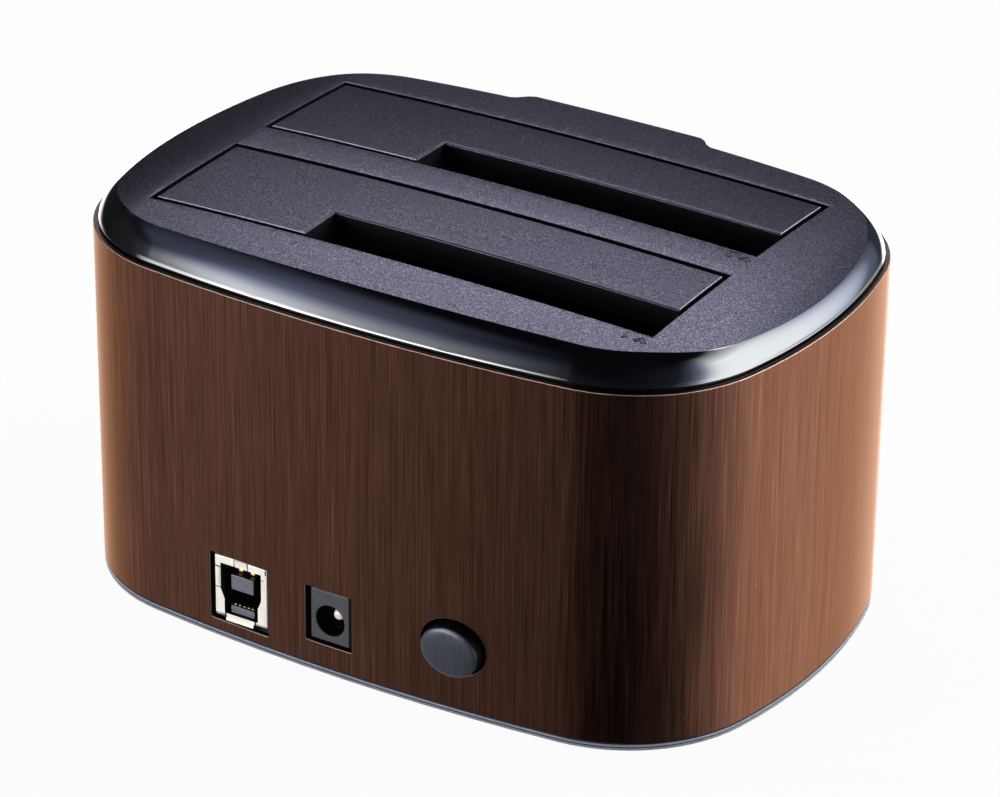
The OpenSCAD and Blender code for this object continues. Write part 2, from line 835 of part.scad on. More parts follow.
// Oval of the power button, grown all round, between two depths
module button_oval(grow, y0, y1) {
    translate([-button_x, y0, button_z])
        rotate([-90, 0, 0])
            linear_extrude(y1 - y0)
                polygon([for (i = [0:63])
                    [(button_rx + grow) * cos(i * 360 / 64), (button_rz + grow) * sin(i * 360 / 64)]]);
}

// Power button: chamfered oval cap, retaining ears behind the sleeve and a stem on the plunger
module power_button() {
    chamfer = 0.7;
    ear_t = 1.4;
    ear_out = 1.4;
    ear_h = 7;
    socket = plunger_w + 2 * seat_fit;
    color(charcoal)
        difference() {
            union() {
                button_oval(0, button_back - ear_t, button_front - chamfer);
                hull() {
                    button_oval(0, button_front - chamfer - eps, button_front - chamfer);
                    button_oval(-chamfer, button_front - eps, button_front);
                }
                intersection() {
                    button_oval(ear_out, button_back - ear_t, button_back);
                    translate([-button_x - button_w, button_back - ear_t - 1, button_z - ear_h / 2])
                        cube([2 * button_w, ear_t + 2, ear_h]);
                }
                translate([-button_x, button_back - ear_t + eps, button_z])
                    rotate([90, 0, 0])
                        cylinder(r = stem_r, h = stem_l + eps);
            }
            translate([-button_x - socket / 2, button_back - ear_t - stem_l - 1, button_z - socket / 2])
                cube([socket, 4 + seat_fit, socket]);
        }
}

// Components on the board's upper face
module on_board(x, y) {
    translate([x, y, board_top])
        children();
}

chip_x = board_w * 0.24;
supply_x = board_w * 0.37;
supply_y = [board_y1 * 0.5, -board_y1 * 0.1];

module bridge_chip() {
    size = 9;
    color(black)
        on_board(chip_x, board_y1 * 0.28)
            translate([-size / 2, -size / 2, 0])
                cube([size, size, 1]);
}

module regulator_chips() {
    color(black)
        for (y = supply_y)
            on_board(supply_x, y)
                translate([-2.5, -2, 0])
                    cube([5, 4, 1.5]);
}

module power_inductors() {
    color("#5a5a5e")
        for (y = supply_y)
            on_board(supply_x - 8, y)
                translate([-3, -3, 0])
                    cube([6, 6, 2]);
}

module filter_capacitors() {
    r = 3.2;
    color(steel)
        for (x = [usb_x - 12, usb_x + 12])
            translate([x, board_y1 * 0.57, board_z])
                mirror([0, 0, 1])
                    cylinder(r = r, h = 7.7);
}

module clock_crystal() {
    color(steel)
        on_board(chip_x, board_y1 * 0.1)
            translate([-2.5, -1.6, 0])
                cube([5, 3.2, 1]);
}

// Indicator: small flat board on two pegs under the light guide, with a flat cable
module led_board() {
    color(board_green)
        difference() {
            translate([-led_board_w / 2, led_board_y, led_board_z])
                cube([led_board_w, led_board_d, led_board_t]);
            for (s = [-1, 1])
                translate([s * peg_x, peg_y, led_board_z - 1])
                    cylinder(r = peg_r + seat_fit, h = led_board_t + 2);
        }
}

module status_leds() {
    size = [1.6, 1.2, led_h];
    color("#e8e6d8")
        for (x = [-4.5, 0, 4.5])
            translate([x - size.x / 2, guide_y + guide_t / 2 - size.y / 2, led_board_z + led_board_t])
                cube(size);
}

module indicator_window() {
    color("#dfe8f0")
        light_guide(0, 0);
}

module led_cable() {
    z0 = board_top + 1.2;
    y1 = board_y0 + 2;
    color("#d8d4c8")
        translate([-cable_w / 2, 0, 0])
            rotate([90, 0, 90])
                linear_extrude(cable_w)
                    polygon([[cable_y, led_board_z], [cable_y, z0], [y1, z0], [y1, z0 + cable_t],
                        [cable_y + cable_t, z0 + cable_t], [cable_y + cable_t, led_board_z]]);
}

module led_connector() {
    w = cable_w + 3;
    color("#e2ddcf")
        on_board(0, board_y0 + 2)
            translate([-w / 2, 0, 0])
                cube([w, 4, 2.2]);
}

module cover_screws() {
    color(steel)
        for (p = cover_screw_at)
            translate([p.x, p.y, flange_top - flange_t])
                screw(thread_r, cover_screw_l, head_r, head_h);
}

module base_screws() {
    color(steel)
        for (p = base_screw_at)
            translate([p.x, p.y, base_head_z + head_h])
                screw(thread_r, base_screw_l + tray_boss_h - 2, head_r, head_h);
}

module board_screws() {
    color(steel)
        for (p = board_post_at)
            translate([p.x, p.y, board_top])
                mirror([0, 0, 1])
                    screw(board_screw_r - seat_fit, board_screw_l - 0.5 + board_t, 2.2, board_head_h);
}

foot_inset = 20;
foot_x = half_w - foot_inset;
foot_y = half_d - foot_inset;
foot_seat = 0.6;
module rubber_feet() {
    edge = 0.5;
    color(rubber)
        for (sx = [-1, 1], sy = [-1, 1])
            translate([sx * foot_x, sy * foot_y, 0])
                rotate_extrude()
                    polygon([[0, 0], [foot_d / 2 - edge, 0], [foot_d / 2, edge],
                        [foot_d / 2, foot_h + foot_seat], [0, foot_h + foot_seat]]);
}

sleeve();
top_cover();
base_tray();
drive_cage();
flap_a();
flap_b();
hinge_pin_a();
hinge_pin_b();
flap_spring_a();
flap_spring_b();
main_board();
sata_socket_a();
sata_socket_b();
sata_contacts_a();
sata_contacts_b();
usb_shell();
usb_insulator();
usb_contacts();
dc_jack_body();
dc_center_pin();
dc_spring_contact();
switch_body();
switch_plunger();
power_button();
bridge_chip();
regulator_chips();
power_inductors();
filter_capacitors();
clock_crystal();
led_board();
status_leds();
indicator_window();
led_cable();
led_connector();
cover_screws();
base_screws();
board_screws();
rubber_feet();
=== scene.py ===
import math

import bmesh
import bpy
from bpy.props import FloatProperty, FloatVectorProperty, PointerProperty
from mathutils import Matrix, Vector


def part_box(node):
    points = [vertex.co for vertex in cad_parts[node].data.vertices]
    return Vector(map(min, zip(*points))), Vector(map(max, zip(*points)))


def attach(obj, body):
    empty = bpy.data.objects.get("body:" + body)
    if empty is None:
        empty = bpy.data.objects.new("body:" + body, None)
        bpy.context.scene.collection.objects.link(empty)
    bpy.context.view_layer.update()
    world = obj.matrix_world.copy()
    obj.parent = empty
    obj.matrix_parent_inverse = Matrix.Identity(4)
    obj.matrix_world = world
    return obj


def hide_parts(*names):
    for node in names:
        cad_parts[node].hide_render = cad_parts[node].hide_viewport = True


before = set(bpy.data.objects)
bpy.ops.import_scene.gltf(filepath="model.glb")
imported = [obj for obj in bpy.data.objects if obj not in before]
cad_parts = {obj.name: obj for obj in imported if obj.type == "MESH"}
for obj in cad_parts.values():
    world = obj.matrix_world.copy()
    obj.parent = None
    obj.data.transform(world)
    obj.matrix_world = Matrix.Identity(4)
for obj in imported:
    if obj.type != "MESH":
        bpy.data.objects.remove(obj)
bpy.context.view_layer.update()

bl_info = {
    "name": "Drive dock",
    "version": (1, 0, 0),
    "blender": (4, 5, 0),
    "location": "3D View > Sidebar > Dock",
    "description": "Models and finishes a two-bay drive dock around its packed frame",
    "category": "Add Mesh",
}

MM = 0.001
SLACK = 1e-9
SLEEVE_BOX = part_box("sleeve")
COVER_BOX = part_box("top_cover")


def linear(hex_colour):
    """Turns an sRGB hex colour into linear red, green and blue."""
    parts = [int(hex_colour[i:i + 2], 16) / 255 for i in (1, 3, 5)]
    return tuple(c / 12.92 if c <= 0.04045 else ((c + 0.055) / 1.055) ** 2.4 for c in parts)


def length(name, description, default):
    """A size in metres, shown in the scene's units."""
    return FloatProperty(name=name, description=description, default=default, min=0.0, precision=5, unit="LENGTH")


def colour(name, description, hex_colour):
    """A colour that is written as sRGB hex and kept as linear."""
    return FloatVectorProperty(name=name, description=description, default=linear(hex_colour), min=0.0, max=1.0,
                               size=3, subtype="COLOR")


class DockSizes(bpy.types.PropertyGroup):
    """Sizes of the dock's visible shapes."""

    body_length: length("Body length", "Sleeve from end to end", SLEEVE_BOX[1].x - SLEEVE_BOX[0].x)
    body_depth: length("Body depth", "Sleeve from front to rear", SLEEVE_BOX[1].y - SLEEVE_BOX[0].y)
    corner_radius: length("Corner radius", "Round of the four upright corners", 0.029)
    side_bow: length("Side bow", "Radius of the front and rear faces", 0.390)
    end_bow: length("End bow", "Radius of the two end faces", 0.103)
    sleeve_bottom: length("Sleeve bottom", "Height of the sleeve's lower edge", SLEEVE_BOX[0].z)
    rim_height: length("Rim height", "Height of the sleeve's upper edge", SLEEVE_BOX[1].z)
    sleeve_wall: length("Sleeve wall", "Thickness of the metal band", 0.0012)
    crown_height: length("Crown height", "Highest point of the cover", COVER_BOX[1].z)
    crown_along: length("Crown along", "Radius of the crown along the bays", 1.440)
    crown_across: length("Crown across", "Radius of the crown across the bays", 0.728)
    roll_radius: length("Roll radius", "Radius of the fall beyond the bays", 0.062)
    bevel_inset: length("Bevel inset", "Step in from the sleeve to the bevel's lower edge", 0.001)
    bevel_lift: length("Bevel lift", "Gap between the sleeve's rim and the bevel", 0.001)
    bevel_slope: FloatProperty(name="Bevel slope", description="Inset of the bevel for each unit of rise", default=0.82)
    bevel_swell: length("Bevel swell", "How far the bevel bulges at its middle", 0.00045)
    bay_length: length("Bay length", "Length of an opening", 0.106)
    bay_width: length("Bay width", "Width of an opening", 0.0277)
    bay_gap: length("Bay gap", "Bridge between the two openings", 0.0091)
    notch_length: length("Notch length", "Length of the slot for small drives", 0.0725)
    notch_width: length("Notch width", "Width of the slot for small drives", 0.0109)
    flap_gap: length("Flap gap", "Gap round a flap", 0.0008)
    flap_thickness: length("Flap thickness", "Thickness of a flap's plate", 0.002)
    skirt_depth: length("Skirt depth", "Wall under a flap along its notch", 0.0036)
    cover_wall: length("Cover wall", "Thickness of the cover", 0.0022)
    button_width: length("Button width", "Width of the oval button", 0.0121)
    button_height: length("Button height", "Height of the oval button", 0.0099)


class DockColours(bpy.types.PropertyGroup):
    """Colours of the dock's finishes."""

    sleeve: colour("Sleeve", "Brown of the anodised band", "#805848")
    cover: colour("Cover", "Blue-grey of the textured cover", "#2c2d33")
    gloss: colour("Gloss", "Black of the polished bevel", "#08090c")
    trim: colour("Trim", "Pale edge under the sleeve", "#8f94a0")
    button: colour("Button", "Grey of the push button", "#434650")
    floor: colour("Floor", "Pale studio floor", "#f2f2f2")


class BodyPlan:
    """Outline, crown and bays in millimetres, worked out from the sizes."""

    def __init__(self, sizes):
        for name in DockSizes.__annotations__:
            value = getattr(sizes, name)
            setattr(self, name, value if name == "bevel_slope" else value / MM)
        s = self
        s.half_w, s.half_d = s.body_length / 2, s.body_depth / 2
        s.long_c = Vector((0, s.half_d - s.side_bow))
        s.short_c = Vector((s.half_w - s.end_bow, 0))
        reach_l, reach_s = s.side_bow - s.corner_radius, s.end_bow - s.corner_radius
        gap = s.short_c - s.long_c
        along = (gap.length_squared + reach_l ** 2 - reach_s ** 2) / (2 * gap.length)
        across = math.sqrt(reach_l ** 2 - along ** 2)
        way = gap.normalized()
        corners = [s.long_c + along * way + side * across * Vector((way.y, -way.x)) for side in (1, -1)]
        s.corner_c = max(corners, key=lambda c: c.y)
        s.end_turn = math.atan2(s.corner_c.y, s.corner_c.x - s.short_c.x)
        s.side_turn = math.atan2(s.corner_c.y - s.long_c.y, s.corner_c.x)
        s.roll_start = s.bay_length / 2 - 1.2
        s.bay_front = [s.bay_gap / 2, -s.bay_gap / 2 - s.bay_width]
        s.bay_rear = [s.bay_gap / 2 + s.bay_width, -s.bay_gap / 2]
        s.notch_end = s.notch_length - s.bay_length / 2
        quarter = [s.end_turn * i / 8 for i in range(8)]
        quarter += [s.end_turn + (s.side_turn - s.end_turn) * i / 24 for i in range(24)]
        quarter += [s.side_turn]
        # corners along the long sides, closer together at the ends of the front ledge
        along_side = (40, 36, 32, 28, 24.6, 22, 20.7, 19.3, 18, 14, 10.5, 7, 3.5)
        quarter += [math.acos(x / (s.side_bow - 6)) for x in along_side]
        half = quarter + [math.pi / 2] + [math.pi - a for a in reversed(quarter)]
        s.turns = half + [math.pi + a for a in half[1:-1]]
        s.count = len(s.turns)

    def at(self, i, inset, z):
        """The outline's corner i, moved inwards and put at a height."""
        turn = self.turns[i]
        c, d = math.cos(turn), math.sin(turn)
        folded = math.atan2(abs(d), abs(c))
        if folded < self.end_turn - SLACK:
            centre, radius = self.short_c, self.end_bow
        elif folded > self.side_turn + SLACK:
            centre, radius = self.long_c, self.side_bow
        else:
            centre, radius = self.corner_c, self.corner_radius
        x = centre.x if c > 0 else -centre.x
        y = centre.y if d > 0 else -centre.y
        return Vector((x + (radius - inset) * c, y + (radius - inset) * d, z))

    def ring(self, inset, z):
        """The whole outline at one inset and height."""
        return [self.at(i, inset, z) for i in range(self.count)]

    def crown(self, x, y):
        """Height of the cover's top surface."""
        roll = max(0, abs(x) - self.roll_start)
        return (self.crown_height - x * x / (2 * self.crown_along) - roll * roll / (2 * self.roll_radius)
                - y * y / (2 * self.crown_across))

    def bevel_rise(self, i):
        """Rise of the bevel at corner i, up to where it meets the crown."""
        rise = 5.0
        for _ in range(40):
            p = self.at(i, self.bevel_inset + self.bevel_slope * rise, 0)
            rise += 0.5 * (self.crown(p.x, p.y) - self.rim_height - self.bevel_lift - rise)
        return rise

    def rear_y(self, x):
        """Y of the sleeve's rear face."""
        return self.long_c.y + math.sqrt(self.side_bow ** 2 - x * x)


# ---------------------------------------------------------------- modelling helpers


def deselect():
    """Leaves nothing selected and no object active."""
    if bpy.context.object and bpy.context.object.mode != "OBJECT":
        bpy.ops.object.mode_set(mode="OBJECT")
    bpy.ops.object.select_all(action="DESELECT")


def select_only(obj):
    """Makes obj the only selected and the active object."""
    deselect()
    obj.select_set(True)
    bpy.context.view_layer.objects.active = obj


def named(name):
    """Gives the object that was just added its name."""
    obj = bpy.context.object
    obj.name = obj.data.name = name
    return obj


class Wall:
    """A surface drawn in edit mode from ring to ring, in millimetres."""

    def __init__(self, name):
        deselect()
        self.name, self.obj, self.live = name, None, []

    def mesh(self):
        """The mesh under edit, with its corners numbered."""
        bm = bmesh.from_edit_mesh(self.obj.data)
        bm.verts.index_update()
        bm.verts.ensure_lookup_table()
        return bm

    def lay(self, points):
        """Puts the live ring's corners on these points."""
        bm = self.mesh()
        for index, point in zip(self.live, points):
            bm.verts[index].co = Vector(point) * MM
        bmesh.update_edit_mesh(self.obj.data)
        return list(self.live)

    def start(self, points):
        """Adds a circle with a corner for each point and lays it on them."""
        if self.obj is None:
            bpy.ops.mesh.primitive_circle_add(vertices=len(points), radius=0.05)
            self.obj = named(self.name)
            bpy.ops.object.mode_set(mode="EDIT")
            first = 0
        else:
            first = len(self.mesh().verts)
            bpy.ops.mesh.select_all(action="DESELECT")
            bpy.ops.mesh.primitive_circle_add(vertices=len(points), radius=0.05)
        self.live = list(range(first, first + len(points)))
        return self.lay(points)

    def pick(self, *rings):
        """Selects the edges of these rings and nothing else."""
        bpy.ops.mesh.select_mode(type="EDGE")
        bpy.ops.mesh.select_all(action="DESELECT")
        bm = self.mesh()
        for ring in rings:
            for a, b in zip(ring, ring[1:] + ring[:1]):
                bm.edges.get((bm.verts[a], bm.verts[b])).select_set(True)
        bmesh.update_edit_mesh(self.obj.data)

    def to(self, points):
        """Extrudes the live ring and lays the new one on the points."""
        self.pick(self.live)
        before = len(self.mesh().verts)
        bpy.ops.mesh.extrude_region_move()
        bm = self.mesh()
        self.live = [next(e.other_vert(bm.verts[i]).index for e in bm.verts[i].link_edges
                          if e.other_vert(bm.verts[i]).index >= before) for i in self.live]
        return self.lay(points)

    def fill(self, *rings):
        """Closes the surface inside or between these rings."""
        self.pick(*rings)
        bpy.ops.mesh.fill(use_beauty=True)

    def bridge(self, first, second):
        """Joins two rings with faces."""
        self.pick(first, second)
        bpy.ops.mesh.bridge_edge_loops()

    def done(self, angle=32):
        """Turns the faces outwards and leaves edit mode."""
        bpy.ops.mesh.select_all(action="SELECT")
        bpy.ops.mesh.normals_make_consistent(inside=False)
        bpy.ops.object.mode_set(mode="OBJECT")
        return smooth(self.obj, angle)


def smooth(obj, angle=32):
    """Smooth shading up to an angle, with large faces kept flat beside small rounded edges."""
    select_only(obj)
    bpy.ops.object.shade_smooth_by_angle(angle=math.radians(angle))
    return apply_modifier(obj, "WEIGHTED_NORMAL", weight=90, keep_sharp=True)


def apply_modifier(obj, kind, **settings):
    """Adds one modifier with its settings and applies it."""
    select_only(obj)
    modifier = obj.modifiers.new(kind.title(), kind)
    for name, value in settings.items():
        setattr(modifier, name, value)
    bpy.ops.object.modifier_apply(modifier=modifier.name)
    return obj


def carve(obj, cutter, operation="DIFFERENCE"):
    """Cuts obj with another solid, or joins them, and removes the other one."""
    apply_modifier(obj, "BOOLEAN", object=cutter, operation=operation, solver="EXACT")
    bpy.data.objects.remove(cutter)
    return obj


def block(name, low, high, edge=0.0, segments=2):
    """A box between two corners in millimetres, with rounded edges where asked."""
    deselect()
    low, high = Vector(low) * MM, Vector(high) * MM
    bpy.ops.mesh.primitive_cube_add(size=1, location=(low + high) / 2, scale=high - low)
    obj = named(name)
    bpy.ops.object.transform_apply(location=True, rotation=True, scale=True)
    if edge:
        apply_modifier(obj, "BEVEL", width=edge * MM, segments=segments, limit_method="ANGLE")
    return obj


def rod(name, centre, radius, depth, axis, sides=48):
    """A cylinder in millimetres along X, Y or Z."""
    deselect()
    turn = {"X": (0, math.pi / 2, 0), "Y": (math.pi / 2, 0, 0), "Z": (0, 0, 0)}[axis]
    bpy.ops.mesh.primitive_cylinder_add(vertices=sides, radius=radius * MM, depth=depth * MM,
                                        location=Vector(centre) * MM, rotation=turn)
    obj = named(name)
    bpy.ops.object.transform_apply(location=True, rotation=True, scale=True)
    return obj


def join(name, *objects):
    """Makes one object of several."""
    deselect()
    for obj in objects:
        obj.select_set(True)
    bpy.context.view_layer.objects.active = objects[0]
    bpy.ops.object.join()
    return named(name)


def loop_points(x0, x1, y0, y1, along, across, height):
    """Corners of a rectangle's edge, with heights from a function."""
    pts = [(x0 + (x1 - x0) * i / along, y0) for i in range(along)]
    pts += [(x1, y0 + (y1 - y0) * i / across) for i in range(across)]
    pts += [(x1 + (x0 - x1) * i / along, y1) for i in range(along)]
    pts += [(x0, y1 + (y0 - y1) * i / across) for i in range(across)]
    return [(x, y, height(x, y)) for x, y in pts]


def oval_points(centre, across, up, y, sides=96):
    """Corners of an upright oval that faces the rear."""
    turns = [2 * math.pi * i / sides for i in range(sides)]
    return [(centre[0] + across * math.sin(a), y, centre[1] + up * math.cos(a)) for a in turns]


def prism(name, points, axis, start, end, angle=32):
    """A straight solid: a closed profile in millimetres, drawn out along one axis."""

    def place(t):
        return [{"X": (t, a, b), "Y": (a, t, b), "Z": (a, b, t)}[axis] for a, b in points]

    solid = Wall(name)
    first = solid.start(place(start))
    last = solid.to(place(end))
    solid.fill(first)
    solid.fill(last)
    return solid.done(angle)


def shifted(points, a, b):
    """Points in a plane, all moved by the same step."""
    return [(p[0] + a, p[1] + b) for p in points]


def circle_points(radius, sides):
    """Corners of a circle in a plane."""
    turns = [2 * math.pi * i / sides for i in range(sides)]
    return [(radius * math.cos(a), radius * math.sin(a)) for a in turns]


def pin_centre(letter):
    """Y and Z of a hinge pin's axis in millimetres."""
    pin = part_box("hinge_pin_" + letter)
    return (pin[0].y + pin[1].y) / 2 / MM, (pin[0].z + pin[1].z) / 2 / MM


def choose(obj, kind, test):
    """Selects in edit mode the faces, edges or corners that pass the test."""
    bpy.ops.mesh.select_mode(type=kind)
    bpy.ops.mesh.select_all(action="DESELECT")
    bm = bmesh.from_edit_mesh(obj.data)
    bm.normal_update()
    for item in {"FACE": bm.faces, "EDGE": bm.edges, "VERT": bm.verts}[kind]:
        if test(item):
            item.select_set(True)
    bmesh.update_edit_mesh(obj.data)


def dress(obj, *materials):
    """Puts these materials on the object's slots."""
    obj.data.materials.clear()
    for material in materials:
        obj.data.materials.append(material)
    return obj


def paint_faces(obj, slot, test):
    """Gives a slot to the faces whose centre, in millimetres, and normal pass the test."""
    for face in obj.data.polygons:
        if test(face.center / MM, face.normal):
            face.material_index = slot


# ---------------------------------------------------------------- materials


def add(tree, kind, inputs=None, **settings):
    """Adds one node with its settings, and sets or links its inputs."""
    node = tree.nodes.new(kind)
    for name, value in settings.items():
        setattr(node, name, value)
    for socket, value in (inputs or {}).items():
        if isinstance(value, bpy.types.NodeSocket):
            tree.links.new(value, node.inputs[socket])
        else:
            node.inputs[socket].default_value = value
    return node


def start_material(name):
    """A new material's node tree and Object coordinates; no tree for a material that is there already."""
    if name in bpy.data.materials:
        return bpy.data.materials[name], None, None
    material = bpy.data.materials.new(name)
    material.use_nodes = True
    tree = material.node_tree
    tree.nodes.clear()
    return material, tree, add(tree, "ShaderNodeTexCoord").outputs["Object"]


def rgba(values, gain=1.0):
    """A linear or hex colour with alpha, made lighter or darker by a factor."""
    values = linear(values) if isinstance(values, str) else values
    return (*[min(1.0, v * gain) for v in values], 1.0)


def per(size_mm):
    """Pattern scale for a feature of this size in millimetres."""
    return 1000 / size_mm


def stretch(tree, coords, *sizes_mm):
    """Coordinates for a pattern with its own size in millimetres along X, Y and Z."""
    scale = tuple(per(size) for size in sizes_mm)
    return add(tree, "ShaderNodeMapping", {"Vector": coords, "Scale": scale}).outputs["Vector"]


def noise(tree, coords, scale, detail=3.0, **more):
    """Soft noise."""
    inputs = {"Vector": coords, "Scale": scale, "Detail": detail, **more}
    return add(tree, "ShaderNodeTexNoise", inputs).outputs["Fac"]


def cells(tree, coords, size_mm, **settings):
    """Distance from the middle of scattered cells."""
    inputs = {"Vector": coords, "Scale": per(size_mm)}
    return add(tree, "ShaderNodeTexVoronoi", inputs, **settings).outputs["Distance"]


def spread(tree, value, start, end, low, high, kind="LINEAR"):
    """Maps the range from start to end onto the range from low to high."""
    inputs = {"Value": value, "From Min": start, "From Max": end, "To Min": low, "To Max": high}
    return add(tree, "ShaderNodeMapRange", inputs, interpolation_type=kind).outputs["Result"]


def blend(tree, factor, first, second):
    """A mix of two colours."""
    return add(tree, "ShaderNodeMix", {"Factor": factor, 6: first, 7: second}, data_type="RGBA").outputs[2]


def bump(tree, height, strength, depth_mm):
    """A normal that follows a pattern's height."""
    inputs = {"Height": height, "Strength": strength, "Distance": depth_mm * MM}
    return add(tree, "ShaderNodeBump", inputs).outputs["Normal"]


def ramp(tree, factor, *stops):
    """A colour ramp through stops of position and colour."""
    node = add(tree, "ShaderNodeValToRGB", {"Fac": factor})
    elements = node.color_ramp.elements
    while len(elements) < len(stops):
        elements.new(0.5)
    for element, (position, values) in zip(elements, stops):
        element.position, element.color = position, values
    return node.outputs["Color"]


def tones(tree, factor, base, *stops):
    """A ramp through darker and lighter tones of one colour, as stops of position and gain."""
    return ramp(tree, factor, *[(position, rgba(base, gain)) for position, gain in stops])


def surface(tree, kind, inputs):
    """The shader that the material shows."""
    shader = add(tree, kind, inputs)
    add(tree, "ShaderNodeOutputMaterial", {"Surface": shader.outputs[0]})


def principled(tree, inputs):
    """The usual shader, as the material's surface."""
    surface(tree, "ShaderNodeBsdfPrincipled", inputs)


def seen_directly(tree):
    """1 for rays from the camera and through glass, or else 0."""
    path = add(tree, "ShaderNodeLightPath").outputs
    rays = {0: path["Is Camera Ray"], 1: path["Is Transmission Ray"]}
    return add(tree, "ShaderNodeMath", rays, operation="MAXIMUM").outputs[0]


def brushed_brown_aluminium(brown):
    """Anodised aluminium band, brushed upright: fine dark and light hairs, a wide soft sheen, a few pale specks."""
    material, tree, coords = start_material("brushed_brown_anodised_aluminium")
    if tree:
        # real hairs are under 0.1 mm wide; they are drawn at 0.15 mm, and 20 mm long, so that they show
        hair = noise(tree, stretch(tree, coords, 0.15, 0.15, 20), 1.0, 1.0)
        band = noise(tree, stretch(tree, coords, 0.9, 0.9, 110), 1.0, 1.0)
        mixed = add(tree, "ShaderNodeMix", {"Factor": 0.14, 2: hair, 3: band}, data_type="FLOAT").outputs[0]
        tone = tones(tree, mixed, brown, (0.28, 0.5), (0.42, 0.88), (0.56, 1.1), (0.72, 1.6))
        speck = spread(tree, cells(tree, coords, 3.2), 0.035, 0.05, 0.6, 0.0)
        principled(tree, {"Base Color": blend(tree, speck, tone, rgba("#b59a86")), "Metallic": 1.0,
                          "Roughness": spread(tree, hair, 0.3, 0.7, 0.3, 0.4), "Anisotropic": 0.5,
                          "Specular Tint": (0.85, 0.64, 0.5, 1), "Normal": bump(tree, hair, 0.2, 0.02)})
    return material


def textured_abs(base, gloss=1.0):
    """Spark-textured ABS of the cover and flaps: a fine even grit with pale glints; a gloss under 1 gives a darker
    copy, painted shade for the flaps.
    """
    name = "spark_textured_abs" if gloss == 1 else "worn_spark_textured_abs"
    material, tree, coords = start_material(name)
    if tree:
        # real grit is 0.1 mm; it is drawn at 0.26 mm so that it shows, with a glint every 0.7 mm
        grit = noise(tree, coords, per(0.26), 1.0)
        stops = ((0.28, 0.8), (0.44, 1.28), (0.55, 1.6), (0.72, 2.88))
        even = tones(tree, grit, base, *[(position, gain * gloss) for position, gain in stops])
        glint = spread(tree, cells(tree, coords, 0.7), 0.12, 0.3, 0.9, 0.0)
        # the metal model with a dark edge tint holds the mirror share level, so that the grit stays dark at low angles
        principled(tree, {"Base Color": blend(tree, glint, even, rgba(base, 3.6 * gloss)), "Metallic": 0.7,
                          "Roughness": spread(tree, grit, 0.3, 0.7, 0.3, 0.22), "Specular IOR Level": 0.0,
                          "Specular Tint": (0.54, 0.54, 0.54, 1), "Normal": bump(tree, grit, 0.2, 0.04)})
    return material


def polished_abs(base):
    """Polished black ABS of the bevel: a deep gloss with faint hazy smears."""
    material, tree, coords = start_material("polished_black_abs")
    if tree:
        haze = noise(tree, coords, per(14))
        principled(tree, {"Base Color": tones(tree, haze, base, (0.35, 0.9), (0.7, 1.25)), "IOR": 1.5,
                          "Roughness": spread(tree, haze, 0.3, 0.7, 0.07, 0.1),
                          "Coat Weight": 1.0, "Coat Roughness": 0.04, "Coat IOR": 1.5})
    return material


def moulded_plastic(name, base, roughness=0.45, grain_mm=0.6, sheen=0.5):
    """Moulded plastic: an even tone with a slight grain and soft gloss."""
    material, tree, coords = start_material(name)
    if tree:
        grain = noise(tree, coords, per(grain_mm))
        principled(tree, {"Base Color": tones(tree, grain, base, (0.3, 0.88), (0.7, 1.12)), "IOR": 1.5,
                          "Roughness": spread(tree, grain, 0.3, 0.7, roughness - 0.06, roughness + 0.06),
                          "Specular IOR Level": sheen, "Normal": bump(tree, grain, 0.25, 0.03)})
    return material


def black_abs():
    """Plain black ABS inside the dock: nearly no gloss, so that the bays read as dark; it is also painted shade on the
    sleeve's cut walls, the trim's groove, the cover's inside and the button's sides.
    """
    return moulded_plastic("black_abs", "#0a0a0c", 0.5, sheen=0.12)


def dark_abs_and_painted_shade():
    """Satin black ABS of the hinge arms, also painted shade under the flaps and on the marks: a little softer than the
    black inside.
    """
    return moulded_plastic("satin_dark_abs", "#08090b", 0.45, sheen=0.14)


def black_nylon():
    """Black nylon of the sockets: a slight satin gloss."""
    return moulded_plastic("black_nylon", "#17181b", 0.42)


def brushed_button_abs(base):
    """Painted ABS of the button, brushed upright: short pale hairs under a satin gloss."""
    material, tree, coords = start_material("brushed_satin_abs")
    if tree:
        hair = noise(tree, stretch(tree, coords, 0.17, 3.0, 4), 1.0, 3.0, Roughness=0.7)
        principled(tree, {"Base Color": tones(tree, hair, base, (0.32, 0.7), (0.5, 1.0), (0.7, 1.5)),
                          "Metallic": 0.35, "Roughness": 0.34, "Normal": bump(tree, hair, 0.35, 0.04)})
    return material


def plated_metal(name, base, roughness=0.24, grain_mm=0.8, metallic=1.0, flash=0.0):
    """Plated sheet or turned metal: bright, with slight cloudiness and fine rolling marks."""
    material, tree, coords = start_material(name)
    if tree:
        cloud = noise(tree, coords, per(grain_mm))
        tone = tones(tree, cloud, base, (0.3, 0.9), (0.7, 1.06))
        principled(tree, {"Base Color": tone, "Metallic": metallic, "Emission Color": tone,
                          "Roughness": spread(tree, cloud, 0.3, 0.7, roughness - 0.05, roughness + 0.07),
                          "Emission Strength": flash})
    return material


def tin_plate():
    """Dull white tin plate; a little light of its own stands for the flash that it mirrors in the photograph."""
    return plated_metal("matte_tin_plated_steel", "#fdf6ea", 0.36, 1.6, metallic=0.1, flash=0.2)


def gold_plate():
    """Gilt bronze of the contacts: a soft yellow gloss."""
    return plated_metal("gold_plated_bronze", "#dcb066", 0.25, 0.5)


def solder_mask():
    """Glass-fibre board under green solder mask: a faint weave and darker copper fields."""
    material, tree, coords = start_material("green_solder_mask")
    if tree:
        fields = cells(tree, coords, 6, distance="CHEBYCHEV")
        tone = ramp(tree, fields, (0.2, rgba("#0f4a2c")), (0.32, rgba("#146038")), (0.6, rgba("#0d3f26")))
        weave = add(tree, "ShaderNodeTexWave", {"Vector": coords, "Scale": per(3), "Distortion": 0.4}).outputs["Fac"]
        principled(tree, {"Base Color": tone, "Roughness": 0.28, "IOR": 1.52, "Normal": bump(tree, weave, 0.1, 0.02)})
    return material


